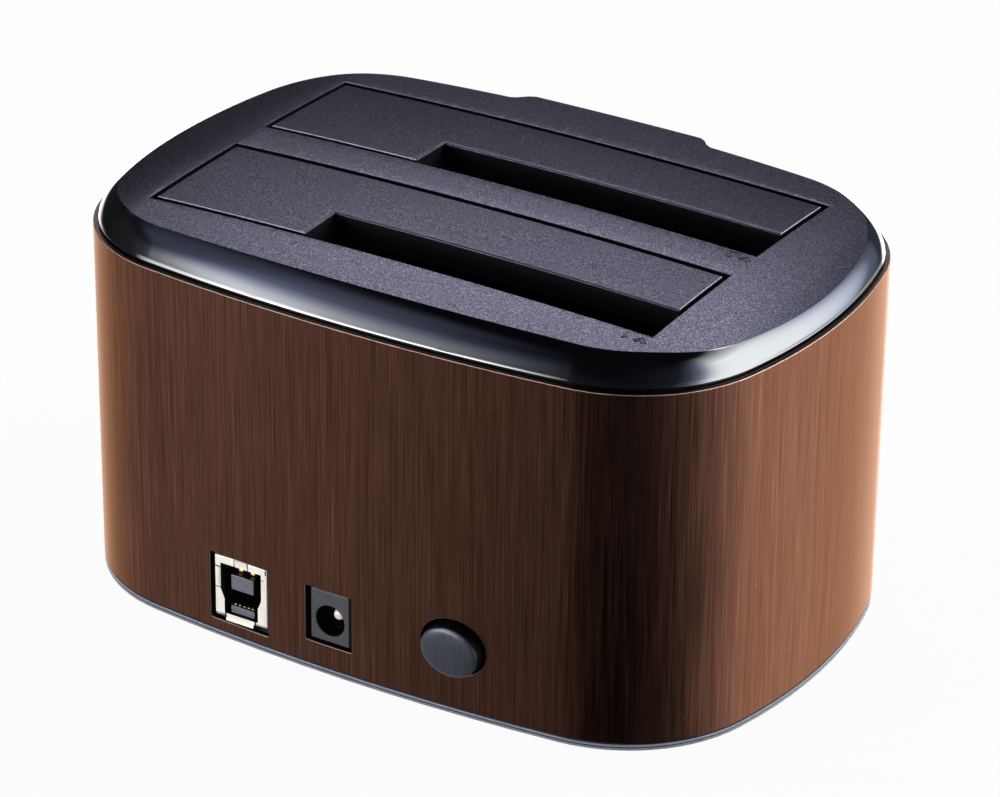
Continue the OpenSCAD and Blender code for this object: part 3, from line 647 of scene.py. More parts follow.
def clear_acrylic():
    """Clear moulded acrylic of the indicator window: a smoky see-through gloss."""
    material, tree, coords = start_material("clear_acrylic")
    if tree:
        tone = ramp(tree, noise(tree, coords, per(4), 2.0), (0.3, rgba("#c9d3dc")), (0.7, rgba("#e3e9ee")))
        principled(tree, {"Base Color": tone, "Roughness": 0.12, "IOR": 1.49, "Transmission Weight": 0.6})
    return material


def soft_rubber():
    """Moulded black rubber of the feet: matt, with a dusty bloom."""
    material, tree, coords = start_material("matt_black_rubber")
    if tree:
        bloom = noise(tree, coords, per(1.2), 4.0)
        tone = ramp(tree, bloom, (0.35, rgba("#161617")), (0.75, rgba("#2a2a2b")))
        principled(tree, {"Base Color": tone, "Roughness": 0.82, "IOR": 1.5, "Normal": bump(tree, bloom, 0.3, 0.06)})
    return material


# ---------------------------------------------------------------- operators


class DockOperator:
    """What the dock's operators share."""

    bl_options = {"REGISTER", "UNDO"}

    def plan(self, context):
        return BodyPlan(context.scene.dock_sizes)


class DOCK_OT_sleeve(DockOperator, bpy.types.Operator):
    """Brown metal band with its socket and button cut-outs"""

    bl_idname = "dock.sleeve"
    bl_label = "Sleeve"

    REAR_Y = 40
    PORTS_LOW, PORTS_HIGH = 4.5, 22

    def execute(self, context):
        plan = self.plan(context)
        z0, z1, wall = plan.sleeve_bottom, plan.rim_height, plan.sleeve_wall
        band = Wall("sleeve_band")
        first = band.start(plan.ring(wall, z0 + 0.1))
        for inset, z in ((wall - 0.1, z0), (0.16, z0), (0.04, z0 + 0.05), (0, z0 + 0.2), (0, (z0 + z1) / 2),
                         (0, z1 - 0.22), (0.03, z1 - 0.05), (0.1, z1), (wall - 0.1, z1)):
            band.to(plan.ring(inset, z))
        last = band.to(plan.ring(wall, z1 - 0.1))
        band.bridge(first, last)
        obj = band.done()
        for node, fall, rise in (("usb_shell", 0.9, 0.4), ("dc_jack_body", 0.45, 0.45)):
            low, high = (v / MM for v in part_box(node))
            low = (low.x - 0.9, self.REAR_Y, low.z - fall)
            carve(obj, block("cut", low, (high.x + 0.9, self.REAR_Y + 20, high.z + rise), 0.25))
        low, high = (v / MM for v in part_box("power_button"))
        # the photograph shows the button's hole a little higher and larger than the button
        centre = ((low.x + high.x) / 2 - 0.15, (low.z + high.z) / 2 + 0.55)
        ring = oval_points(centre, plan.button_width / 2 + 0.6, plan.button_height / 2 + 0.68, 0)
        carve(obj, prism("cut", [(q[0], q[2]) for q in ring], "Y", self.REAR_Y, self.REAR_Y + 20))
        brown = context.scene.dock_colours.sleeve
        dress(obj, brushed_brown_aluminium(brown), plated_metal("cut_aluminium_edge", "#b09a8c", 0.45),
              black_abs(), plated_metal("dark_anodised_edge", [0.1 * v for v in brown], 0.4))
        self.edges(obj, plan)
        smooth(obj, 32)
        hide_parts("sleeve")
        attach(obj, "housing")
        return {"FINISHED"}

    def edges(self, obj, plan):
        """Bright cut edges round the openings, with painted shade on the walls behind them."""

        def by_ports(p):
            return self.PORTS_LOW < p.z < self.PORTS_HIGH and p.y > self.REAR_Y

        def depth(p):
            return plan.rear_y(p.x) - p.y

        def is_mouth(edge):
            outside = all(by_ports(v.co / MM) and abs(depth(v.co / MM)) < 0.05 for v in edge.verts)
            return outside and edge.is_manifold and edge.calc_face_angle() > 0.8

        select_only(obj)
        bpy.ops.object.mode_set(mode="EDIT")
        choose(obj, "EDGE", is_mouth)
        bpy.ops.mesh.bevel(offset=0.11 * MM, segments=1)
        bm = bmesh.from_edit_mesh(obj.data)
        for face in bm.faces:
            if face.select:
                face.material_index = 1
        bmesh.update_edit_mesh(obj.data)
        bpy.ops.object.mode_set(mode="OBJECT")
        # the cut walls behind the bright edges are painted black: painted shade in the openings
        paint_faces(obj, 2, lambda c, n: by_ports(c) and 0.15 < depth(c) < 1.15 and abs(n.y) < 0.5)
        # the band's flat ends get a near-black brown: painted shade under the cover's overhang
        paint_faces(obj, 3, lambda c, n: abs(n.z) > 0.97 and not self.PORTS_LOW < c.z < self.PORTS_HIGH)
        paint_faces(obj, 1, lambda c, n: 0.5 < n.z < 0.97 and c.z > plan.rim_height - 0.1)


class DOCK_OT_base_trim(DockOperator, bpy.types.Operator):
    """Two pale ribs round the base, under the sleeve"""

    bl_idname = "dock.base_trim"
    bl_label = "Base trim"

    def execute(self, context):
        plan = self.plan(context)
        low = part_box("base_tray")[0].z / MM
        ribs = Wall("base_trim")
        first = ribs.start(plan.ring(1.0, low + 0.02))
        for inset, rise in ((0.25, 0.02), (0.08, 0.1), (0.05, 0.2), (0.05, 0.44), (0.14, 0.5), (0.14, 0.68),
                            (0.05, 0.74), (0.05, 1.0), (0.08, 1.1), (0.25, 1.18)):
            ribs.to(plan.ring(inset, low + rise))
        last = ribs.to(plan.ring(1.0, low + 1.18))
        ribs.bridge(first, last)
        obj = ribs.done()
        dress(obj, moulded_plastic("satin_pale_abs", context.scene.dock_colours.trim, 0.38), black_abs())
        # the groove between the two ribs is painted black: painted shade in the crease
        paint_faces(obj, 1, lambda c, n: low + 0.49 < c.z < low + 0.69)
        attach(obj, "housing")
        return {"FINISHED"}


class DOCK_OT_top_cover(DockOperator, bpy.types.Operator):
    """Crowned cover with its polished bevel, two bay openings and front ledge"""

    bl_idname = "dock.top_cover"
    bl_label = "Top cover"

    LEDGE_HALF, LEDGE_BLEND = 22, 4
    LUG_X, LUG_RADIUS, LUG_WIDTH, LUG_BORE = 49.5, 2.2, 3, 1.03

    def execute(self, context):
        plan = self.plan(context)
        obj = self.shell(plan)
        colours = context.scene.dock_colours
        dress(obj, textured_abs(colours.cover), polished_abs(colours.gloss), black_abs())

        def is_gloss(c, n):
            return c.z > plan.rim_height - 6 and n.z < 0.92 and max(abs(c.x) - 53.4, abs(c.y) - 32.6) > 0

        # downward faces and bay walls deeper than 0.5 mm are painted black: painted shade inside the bays
        def is_inside(c, n):
            in_bays = max(abs(c.x) - 53.1, abs(c.y) - 32.4) < 0
            return plan.crown(c.x, c.y) - c.z > 0.5 and (n.z < -0.5 or in_bays)

        paint_faces(obj, 1, is_gloss)
        paint_faces(obj, 2, is_inside)
        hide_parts("top_cover")
        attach(obj, "housing")
        for piece in self.lips(plan) + self.lugs(plan):
            dress(piece, black_abs())
            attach(piece, "housing")
        return {"FINISHED"}

    def shell(self, plan):
        """The closed cover: cavity, neck, foot lip, bevel, crown and bay openings."""
        rim, low, wall = plan.rim_height, plan.rim_height + plan.bevel_lift, plan.cover_wall
        rises = [plan.bevel_rise(i) for i in range(plan.count)]
        cavity = plan.bevel_inset + plan.bevel_slope * (plan.crown_height - low) - 0.3
        neck_out, neck_in = plan.sleeve_wall + 0.25, plan.sleeve_wall + 0.25 + wall
        ledge_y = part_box("indicator_window")[0].y / MM

        def edge(i):
            """Inset of the crown's edge, pushed out over the front ledge."""
            inset = plan.bevel_inset + plan.bevel_slope * rises[i]
            p = plan.at(i, inset, 0)
            if p.y < 0 and abs(p.x) < self.LEDGE_HALF:
                share = min(1, (self.LEDGE_HALF - abs(p.x)) / self.LEDGE_BLEND)
                share = share * share * (3 - 2 * share)
                inset -= max(0, p.y - ledge_y) * share
            return inset

        edges = [edge(i) for i in range(plan.count)]

        def crowned(depth, drop):
            """Ring on the crown, a way in from its edge and below it."""
            ring = []
            for i in range(plan.count):
                plain = plan.bevel_inset + plan.bevel_slope * rises[i]
                inset = edges[i] + (plain - edges[i]) * min(1, depth / 3) + depth
                p = plan.at(i, inset, 0)
                ring.append((p.x, p.y, plan.crown(p.x, p.y) - drop))
            return ring

        def bevelled(share):
            """Ring on the swollen bevel, at a share of its rise."""
            ring = []
            for i in range(plan.count):
                top = (edges[i] - plan.bevel_inset) / plan.bevel_slope
                swell = plan.bevel_swell * 4 * share * (1 - share) * top / rises[i]
                inset = plan.bevel_inset + plan.bevel_slope * top * share - swell * 0.77
                ring.append(plan.at(i, inset, low + top * share + swell * 0.63))
            return ring

        shell = Wall("cover_shell")
        ceiling = []
        for i in range(plan.count):
            p = plan.at(i, cavity, 0)
            ceiling.append((p.x, p.y, plan.crown(p.x, p.y) - wall))
        under = shell.start(ceiling)
        foot = plan.bevel_inset
        for inset, z in ((cavity, low + 0.2), (neck_in, low + 0.2), (neck_in, rim - 5), (neck_out, rim - 5),
                         (neck_out, low - 0.28), (foot + 0.25, low - 0.28), (foot + 0.05, low - 0.28),
                         (foot - 0.01, low - 0.25), (foot - 0.03, low - 0.2), (foot - 0.02, low - 0.16),
                         (foot + 0.025, low - 0.01), (foot + 0.05, low + 0.04)):
            shell.to(plan.ring(inset, z))
        for share in (0.05, 0.09, 0.16, 0.26, 0.38, 0.5, 0.62, 0.74, 0.84, 0.92, 0.97):
            shell.to(bevelled(share))
        for depth in (0.0, 0.15, 1.0, 2.2, 3.8):
            top = shell.to(crowned(depth, 0))
        upper, lower = [], []
        x = plan.bay_length / 2
        for y0, y1 in zip(plan.bay_front, plan.bay_rear):
            for grow, drop in ((0.12, 0), (0.035, 0.035), (0, 0.12), (0, wall)):
                points = loop_points(-x - grow, x + grow, y0 - grow, y1 + grow, 30, 8,
                                     lambda a, b: plan.crown(a, b) - drop)
                ring = shell.to(points) if drop else shell.start(points)
                if not drop:
                    upper.append(ring)
            lower.append(ring)
        shell.fill(top, *upper)
        shell.fill(under, *lower)
        bpy.ops.mesh.select_mode(type="FACE")
        bpy.ops.mesh.select_all(action="DESELECT")
        bm = shell.mesh()

        def on_crown(v):
            return abs(plan.crown(v.co.x / MM, v.co.y / MM) - v.co.z / MM) < 0.02

        for face in bm.faces:
            face.select_set(all(on_crown(v) for v in face.verts))
        bmesh.update_edit_mesh(shell.obj.data)
        bpy.ops.mesh.subdivide(number_cuts=2)
        bm = shell.mesh()
        for v in bm.verts:
            if v.select:
                v.co.z = plan.crown(v.co.x / MM, v.co.y / MM) * MM
        bmesh.update_edit_mesh(shell.obj.data)
        obj = shell.done(30)
        first, last = (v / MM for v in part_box("indicator_window"))
        carve(obj, block("cut", (first.x - 0.05, first.y - 3, last.z - 1.25),
                         (last.x + 0.05, first.y + 6, last.z + 0.05)))
        return smooth(obj, 30)

    def lips(self, plan):
        """Guiding lips under the rear edge and ends of each opening."""
        pieces = []
        x, low = plan.bay_length / 2 + 0.3, plan.rim_height + 0.3
        for letter, y0, y1 in zip("ab", plan.bay_front, plan.bay_rear):
            high = plan.crown(x, y1) - plan.cover_wall + 0.4
            start = y1 - plan.bay_width * 0.7
            lip = block("bay_lip_" + letter, (-x - 1.5, start, low), (x + 1.5, y1 + 1.8, high))
            carve(lip, block("cut", (-x, y0 - 5, low - 1), (x, y1 + 0.3, high + 1)))
            apply_modifier(lip, "BEVEL", width=0.25 * MM, segments=2)
            pieces.append(smooth(lip))
        return pieces

    def lugs(self, plan):
        """Two hinge lugs for each flap, hung under the cover."""
        pieces = []
        for letter in "ab":
            y, z = pin_centre(letter)
            top = plan.crown(self.LUG_X + self.LUG_WIDTH / 2, y) - plan.cover_wall + 0.5
            for side, x in (("left", self.LUG_X), ("right", -self.LUG_X)):
                name = "hinge_lug_%s_%s" % (letter, side)
                lug = rod(name, (x, y, z), self.LUG_RADIUS, self.LUG_WIDTH, "X", 40)
                bpy.ops.object.mode_set(mode="EDIT")
                choose(lug, "VERT", lambda v: v.co.z > (z + 0.01) * MM)
                bpy.ops.transform.translate(value=(0, 0, (top - z - self.LUG_RADIUS) * MM))
                bpy.ops.object.mode_set(mode="OBJECT")
                carve(lug, rod("cut", (x, y, z), self.LUG_BORE, 8, "X", 32))
                pieces.append(smooth(lug))
        return pieces


class DOCK_OT_flaps(DockOperator, bpy.types.Operator):
    """The two spring flaps, with their skirts and hinge arms"""

    bl_idname = "dock.flaps"
    bl_label = "Flaps"

    # the gap is drawn wider than it is, most at the front edge, as the photograph shows it
    SIDE_GAP, FRONT_GAP, REAR_GAP = 0.28, 0.58, 0.36
    SKIRT = 1.4
    ARM_X, ARM_HALF, BARREL, BORE = 40, 3.5, 1.7, 1.05

    def execute(self, context):
        plan = self.plan(context)
        colours = context.scene.dock_colours
        for b, letter in enumerate("ab"):
            obj = self.plate(plan, b, "flap_plate_" + letter)
            # the plate gets a darker copy of the cover's texture: painted shade that makes the flaps darker than the
            # cover
            dress(obj, textured_abs(colours.cover, 0.7), dark_abs_and_painted_shade(),
                  moulded_plastic("worn_edge_abs", "#a4a8b6", 0.3))
            # faces under the crown, except those facing -X, are painted near black: painted shade under the flap
            paint_faces(obj, 1, lambda c, n: plan.crown(c.x, c.y) - c.z > 0.5 and n.x > -0.5)
            # the rounded rims on the +Y edge beyond the notch and on the -X end get a pale painted highlight
            paint_faces(obj, 2, lambda c, n: 0.3 < n.z < 0.93 and plan.crown(c.x, c.y) - c.z < 0.3
                        and (n.y > 0.3 and c.x > plan.notch_end or n.x < -0.3 and c.x < -40))
            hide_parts("flap_" + letter)
            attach(obj, "flap_" + letter)
            for side in (1, -1):
                arm = self.arm(plan, b, letter, side)
                dress(arm, dark_abs_and_painted_shade())
                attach(arm, "flap_" + letter)
        return {"FINISHED"}

    def plate(self, plan, b, name):
        """The crowned plate with a skirt along its notch and rounded edges."""
        gap, skirt = plan.flap_gap, self.SKIRT
        x0 = plan.bay_length / 2 - gap - self.SIDE_GAP
        y0, y1 = plan.bay_front[b] + gap + self.FRONT_GAP, plan.bay_rear[b] - gap - self.REAR_GAP
        notch_x, notch_y = plan.notch_end, plan.bay_rear[b] - plan.notch_width
        xs = [-x0 + (notch_x + x0) * i / 20 for i in range(21)] + [notch_x + skirt]
        xs += [notch_x + skirt + (x0 - notch_x - skirt) * i / 9 for i in range(1, 10)]
        ys = [y0 + (notch_y - skirt - y0) * i / 5 for i in range(6)] + [notch_y]
        ys += [notch_y + (y1 - notch_y) * i / 3 for i in range(1, 4)]
        deselect()
        bpy.ops.mesh.primitive_grid_add(x_subdivisions=len(xs) - 1, y_subdivisions=len(ys) - 1, size=1)
        obj = named(name)
        bpy.ops.object.mode_set(mode="EDIT")
        bm = bmesh.from_edit_mesh(obj.data)
        for v in bm.verts:
            x = xs[round((v.co.x + 0.5) * (len(xs) - 1))]
            y = ys[round((v.co.y + 0.5) * (len(ys) - 1))]
            v.co = Vector((x, y, 0)) * MM
        bmesh.update_edit_mesh(obj.data)

        def in_notch(f):
            c = f.calc_center_median() / MM
            return c.x < notch_x and c.y > notch_y

        choose(obj, "FACE", in_notch)
        bpy.ops.mesh.delete(type="FACE")
        bpy.ops.mesh.select_all(action="SELECT")
        bpy.ops.mesh.extrude_region_move(TRANSFORM_OT_translate={"value": (0, 0, -plan.flap_thickness * MM)})

        def in_skirt(f):
            c = f.calc_center_median() / MM
            flat = abs(f.normal.z) > 0.5 and c.z < -plan.flap_thickness / 2
            return flat and c.y > notch_y - skirt and c.x < notch_x + skirt

        choose(obj, "FACE", in_skirt)
        bpy.ops.mesh.extrude_region_move(TRANSFORM_OT_translate={"value": (0, 0, -plan.skirt_depth * MM)})
        bm = bmesh.from_edit_mesh(obj.data)
        bottom = plan.crown_height - plan.flap_thickness - plan.skirt_depth
        for v in bm.verts:
            x, y, z = v.co / MM
            top = plan.crown(x, y)
            v.co.z = (top + z if z > -plan.flap_thickness - 0.5 else bottom) * MM
        bmesh.update_edit_mesh(obj.data)
        bpy.ops.mesh.select_all(action="SELECT")
        bpy.ops.mesh.normals_make_consistent(inside=False)

        def is_rim(e):
            if len(e.link_faces) != 2:
                return False
            up = [f.normal.z > 0.8 for f in e.link_faces]
            return up[0] != up[1] and all(abs(f.normal.z) < 0.3 or f.normal.z > 0.8 for f in e.link_faces)

        def on_notch(p):
            return p.y > notch_y - 0.05 and p.x < notch_x + 0.05

        bm = bmesh.from_edit_mesh(obj.data)
        bm.normal_update()
        weight = bm.edges.layers.float.new("bevel_weight_edge")
        for e in bm.edges:
            if is_rim(e):
                e[weight] = 1.0 if all(on_notch(v.co / MM) for v in e.verts) else 0.4
        bmesh.update_edit_mesh(obj.data)
        bpy.ops.object.mode_set(mode="OBJECT")
        apply_modifier(obj, "BEVEL", width=0.5 * MM, segments=4, limit_method="WEIGHT")
        return smooth(obj, 34)

    def arm(self, plan, b, letter, side):
        """Hinge arm: a barrel on the pin and a web up to the flap."""
        y, z = pin_centre(letter)
        reach = plan.bay_front[b] + plan.flap_gap - y
        under = plan.crown(self.ARM_X, y + reach) - plan.flap_thickness - z
        barrel = circle_points(self.BARREL, 36)[10:28]
        web = [(1.0, -1.25), (reach + 3.6, under - 0.5), (reach + 4, under - 0.2), (reach + 4, under + 0.3),
               (reach + 0.5, under + 0.3), (reach - 0.5, 1.53), (0.6, 1.6)]
        arm = Wall("hinge_arm_%s_%s" % (letter, "left" if side > 0 else "right"))
        rings = []
        for profile in (barrel + web, circle_points(self.BORE, 24)):
            low, high = ([(side * self.ARM_X + half, a, b) for a, b in shifted(profile, y, z)]
                         for half in (-self.ARM_HALF, self.ARM_HALF))
            rings.append((arm.start(low), arm.to(high)))
        for outer, inner in zip(*rings):
            arm.fill(outer, inner)
        return arm.done()


class DOCK_OT_power_button(DockOperator, bpy.types.Operator):
    """Oval push button with a rolled rim"""

    bl_idname = "dock.power_button"
    bl_label = "Power button"

    def execute(self, context):
        plan = self.plan(context)
        low, high = (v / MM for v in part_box("power_button"))
        centre = ((low.x + high.x) / 2, (low.z + high.z) / 2)
        across, up, front = plan.button_width / 2, plan.button_height / 2, high.y
        body = Wall("button_cap")
        stem = body.start(oval_points(centre, 2.0, 2.0, low.y))
        body.to(oval_points(centre, 2.0, 2.0, front - 3.9))
        for inset, y in ((0.2, -3.9), (0, -3.7), (0, -1.0), (0.04, -0.78), (0.13, -0.58), (0.26, -0.43), (0.4, -0.36),
                         (0.5, -0.33), (0.56, -0.29), (0.66, -0.24), (0.9, -0.19), (1.6, -0.09), (2.8, 0)):
            last = body.to(oval_points(centre, across - inset, up - inset, front + y))
        body.fill(stem)
        body.fill(last)
        obj = body.done(50)
        dress(obj, brushed_button_abs(context.scene.dock_colours.button), black_abs())
        # faces turned more than 60 degrees from the rear are painted black: painted shade on the button's sides
        paint_faces(obj, 1, lambda c, n: n.y < 0.5)
        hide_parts("power_button")
        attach(obj, "button")
        return {"FINISHED"}


class DOCK_OT_data_socket(DockOperator, bpy.types.Operator):
    """Folded metal shell with a stepped mouth, two tongues and gilt contacts"""

    bl_idname = "dock.data_socket"
    bl_label = "Data socket"

    def execute(self, context):
        low, high = (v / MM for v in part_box("usb_shell"))
        x, z, front = (low.x + high.x) / 2, (low.z + high.z) / 2, high.y

        def mouth(grow):
            """Outline of the stepped mouth, made larger on all sides."""
            wide, thin = 4.5 + grow, 3.7 + grow
            foot, step, roof = -5.55 - grow, -2.6, 4.75 + grow
            right = [(thin, foot), (thin, step), (wide, step + 1.9), (wide, roof)]
            return shifted([(-thin, foot)] + right + [(-a, b) for a, b in reversed(right[1:])], x, z)

        black, slate = black_nylon(), moulded_plastic("slate_nylon", "#74767f", 0.36, 0.3)
        shell = self.shell(low, high, mouth(0))
        dress(shell, tin_plate(), plated_metal("dull_cut_steel", "#4a4038", 0.45))
        # edges, seam walls and mouth sides turned away from the front are painted dark: painted shade
        paint_faces(shell, 1, lambda c, n: n.y < 0.45)
        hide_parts("usb_shell")
        play = 0.42
        body = block("usb_core", (low.x + play, low.y, low.z + play), (high.x - play, front - play, high.z - play), 0.1)
        carve(body, prism("cut", mouth(0.05), "Y", front + 1, front - 9.5))
        dress(smooth(body), black)
        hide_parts("usb_insulator")
        pieces = [shell, body]
        for name, foot, wide, tall in (("upper", z - 0.45, 5.0, 3.1), ("lower", z - 5.35, 5.2, 1.5)):
            tongue = block("usb_tongue_" + name, (x - wide / 2, front - 9.6, foot),
                           (x + wide / 2, front - 0.5, foot + tall), 0.16, 3)
            line = foot + tall * 0.52
            carve(tongue, block("cut", (x - wide, front - 0.62, line - 0.09), (x + wide, front, line + 0.09), 0.05))
            dress(smooth(tongue), black, slate)
            paint_faces(tongue, 1, lambda c, n: n.y > 0.35)
            pieces.append(tongue)
        contacts = []
        for middle in (x - 1.3, x + 1.3):
            contacts.append(prism("usb_contacts_bent", self.spring(front, z + 2.72), "X", middle - 0.4, middle + 0.4))
        for middle in (x + 0.95 * k for k in range(-2, 3)):
            contacts.append(block("usb_contact_flat", (middle - 0.27, front - 9.4, z - 3.86),
                                  (middle + 0.27, front - 1.0, z - 3.68), 0.06))
        contacts = smooth(join("usb_gilt_contacts", *contacts))
        dress(contacts, gold_plate())
        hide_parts("usb_contacts")
        for piece in pieces + [contacts]:
            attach(piece, "housing")
        return {"FINISHED"}

    def spring(self, front, foot):
        """Side of a sprung contact: a lifted tip, then a long blade."""
        upper = [(-2.0, 0.3), (-2.2, 0.6), (-2.7, 0.8), (-4.2, 1.15), (-9.4, 1.5)]
        lower = [(y, rise - 0.22) for y, rise in reversed(upper)]
        return shifted(upper + lower, front, foot)

    def shell(self, low, high, mouth):
        """Folded sheet: a front plate with its seams, sprung leaves and a flared foot."""
        front = high.y
        shell = block("usb_sheet_shell", low, high, 0.32, 3)
        carve(shell, prism("cut", mouth, "Y", front + 1, front - 1))
        carve(shell, block("cut", (low.x + 0.4, low.y - 1, low.z + 0.4), (high.x - 0.4, front - 0.4, high.z - 0.4)))
        x, z = (low.x + high.x) / 2, (low.z + high.z) / 2
        seams = ((4.3, 5.75, 3.82, 4.02), (4.3, 5.75, -0.52, -0.32), (1.28, 1.5, 4.6, 6.6), (-1.66, -1.5, 4.6, 6.6),
                 (-5.2, -4.3, 3.6, 3.76), (-5.62, -5.36, 4.9, 5.9), (3.35, 3.65, -6.6, -5.4), (-3.2, -2.9, -6.6, -5.4),
                 (3.6, 6.0, -5.95, -5.8), (-6.0, -3.2, -6.0, -5.86))
        for x0, x1, z0, z1 in seams:
            carve(shell, block("cut", (x + x0, front - 0.7, z + z0), (x + x1, front + 1, z + z1)))
        bowed = [(4.52, -0.35), (4.6, 0.02), (4.95, 0.16), (5.3, 0.1), (5.55, -0.1), (5.55, -0.35)]
        side = prism("leaf", shifted(bowed, x, front), "Z", z - 0.28, z + 3.78, 60)
        curl = [(-0.6, 6.2), (-0.15, 6.28), (0.14, 6.05), (0.18, 5.7), (0.02, 5.2), (-0.25, 4.9), (-0.4, 5.1),
                (-0.3, 5.6)]
        top = prism("leaf", shifted(curl, front, z), "X", x - 1.46, x + 1.24, 60)
        flare = [(-0.6, -6.0), (-0.15, -6.12), (0.16, -6.36), (0.28, -6.7), (0.2, -6.95), (0.05, -6.95), (0.02, -6.6),
                 (-0.2, -6.34), (-0.6, -6.22)]
        foot = prism("leaf", shifted(flare, front, z), "X", x - 2.8, x + 3.25, 60)
        return smooth(join("usb_sheet_shell", shell, side, top, foot), 40)


class DOCK_OT_power_inlet(DockOperator, bpy.types.Operator):
    """Moulded jack with a chamfered bore and a turned centre pin"""

    bl_idname = "dock.power_inlet"
    bl_label = "Power inlet"

    def execute(self, context):
        low, high = (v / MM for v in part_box("dc_jack_body"))
        pin_low, pin_high = (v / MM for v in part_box("dc_center_pin"))
        centre = ((pin_low.x + pin_high.x) / 2, (pin_low.z + pin_high.z) / 2)
        front, radius = high.y, 3.1
        jack = block("jack_body", low, high, 0.24, 4)
        bore = Wall("cut")
        first = bore.start(oval_points(centre, radius + 0.5, radius + 0.5, front + 0.38))
        for grow, y in ((0.12, front), (0.05, front - 0.06), (0, front - 0.2)):
            bore.to(oval_points(centre, radius + grow, radius + grow, y))
        last = bore.to(oval_points(centre, radius, radius, front - 10.5))
        bore.fill(first)
        bore.fill(last)
        carve(jack, bore.done())
        smooth(jack)
        dress(jack, moulded_plastic("satin_grey_nylon", "#4b4b50", 0.42, 0.5),
              moulded_plastic("black_bore_nylon", "#020203", 0.75, sheen=0.1))

        # the bore's wall is painted near black: painted shade inside the bore
        def in_bore(c, n):
            return math.hypot(c.x - centre[0], c.z - centre[1]) < radius + 0.02 and c.y < front - 0.1

        paint_faces(jack, 1, in_bore)
        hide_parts("dc_jack_body")
        pin = Wall("jack_pin")
        tip = pin_high.y
        first = pin.start(oval_points(centre, 1.05, 1.05, front - 10.4, 48))
        for r, y in ((1.05, -0.75), (0.98, -0.42), (0.82, -0.18), (0.55, -0.04), (0.25, 0)):
            last = pin.to(oval_points(centre, r, r, tip + y, 48))
        pin.fill(first)
        pin.fill(last)
        pin = pin.done(60)
        dress(pin, tin_plate())
        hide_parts("dc_center_pin")
        for piece in (jack, pin):
            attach(piece, "housing")
        return {"FINISHED"}


class DOCK_OT_slot_marks(DockOperator, bpy.types.Operator):
    """Raised chevron and digit beside each slot"""

    bl_idname = "dock.slot_marks"
    bl_label = "Slot marks"

    def execute(self, context):
        plan = self.plan(context)
        chevrons = ([(0, 2.1), (1.25, 0.75), (2.5, 2.1)], [(0.45, 2.55), (1.25, 1.7), (2.05, 2.55)])
        digits = ([(0, 1.7), (0.75, 2.3), (0.75, 0)],
                  [(0, 1.75), (0.3, 2.2), (0.8, 2.3), (1.25, 2.05), (1.35, 1.55), (1.1, 1.1), (0.1, 0.05), (1.4, 0.05)])
        for letter, rear, digit in zip("ab", plan.bay_rear, digits):
            lines = [shifted(line, -53.1, rear + 0.55) for line in chevrons] + [shifted(digit, -49.3, rear + 0.65)]
            mark = join("slot_mark_" + letter, *[self.stroke(plan, line) for line in lines])
            # the raised strokes are coloured near black: painted shade that stands for the moulded relief
            dress(mark, dark_abs_and_painted_shade())
            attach(mark, "housing")
        return {"FINISHED"}

    def stroke(self, plan, points, width=0.3):
        """A raised line with mitred turns, which follows the crown."""
        points = [Vector(p) for p in points]

        def edge(half):
            sides = ([], [])
            for i, p in enumerate(points):
                before = (p - points[i - 1]).normalized() if i else (points[1] - p).normalized()
                after = (points[i + 1] - p).normalized() if i + 1 < len(points) else before
                across = (Vector((-before.y, before.x)) + Vector((-after.y, after.x))).normalized()
                reach = half / max(0.5, across.dot(Vector((-before.y, before.x))))
                sides[0].append(p + across * reach)
                sides[1].insert(0, p - across * reach)
            return sides[0] + sides[1]

        def ring(half, rise):
            return [(q.x, q.y, plan.crown(q.x, q.y) + rise) for q in edge(half)]

        line = Wall("stroke")
        first = line.start(ring(width / 2, -0.3))
        line.to(ring(width / 2, 0.06))
        last = line.to(ring(width / 2 - 0.06, 0.12))
        line.fill(first)
        line.fill(last)
        return line.done()


class DOCK_OT_carried_nodes(DockOperator, bpy.types.Operator):
    """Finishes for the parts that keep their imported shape"""

    bl_idname = "dock.carried_nodes"
    bl_label = "Carried parts"

    def execute(self, context):
        finishes = (
            (moulded_plastic("satin_grey_abs", "#4a4d55", 0.48), "base_tray"),
            (black_abs(), "drive_cage"),
            (plated_metal("nickel_plated_steel", "#c9c8c4"),
             "hinge_pin_a hinge_pin_b cover_screws base_screws board_screws"),
            (plated_metal("spring_steel", "#a9a8a6", 0.3, 0.4), "flap_spring_a flap_spring_b"),
            (solder_mask(), "main_board"),
            (moulded_plastic("black_solder_mask", "#0d100f", 0.3, 3.0), "led_board"),
            (black_nylon(), "sata_socket_a sata_socket_b switch_body"),
            (gold_plate(), "sata_contacts_a sata_contacts_b"),
            (moulded_plastic("blackened_bronze", "#050403", 0.8, sheen=0.1), "dc_spring_contact"),
            (moulded_plastic("pale_nylon", "#d9d6cc", 0.5), "switch_plunger status_leds led_connector"),
            (moulded_plastic("epoxy_chip_case", "#1d1e20", 0.55, 0.25), "bridge_chip regulator_chips power_inductors"),
            (plated_metal("drawn_aluminium", "#c4c6ca", 0.32), "filter_capacitors clock_crystal"),
            (clear_acrylic(), "indicator_window"),
            (moulded_plastic("black_pvc_ribbon", "#131314", 0.4), "led_cable"),
            (soft_rubber(), "rubber_feet"),
        )
        for material, names in finishes:
            for name in names.split():
                dress(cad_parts[name], material)
        return {"FINISHED"}


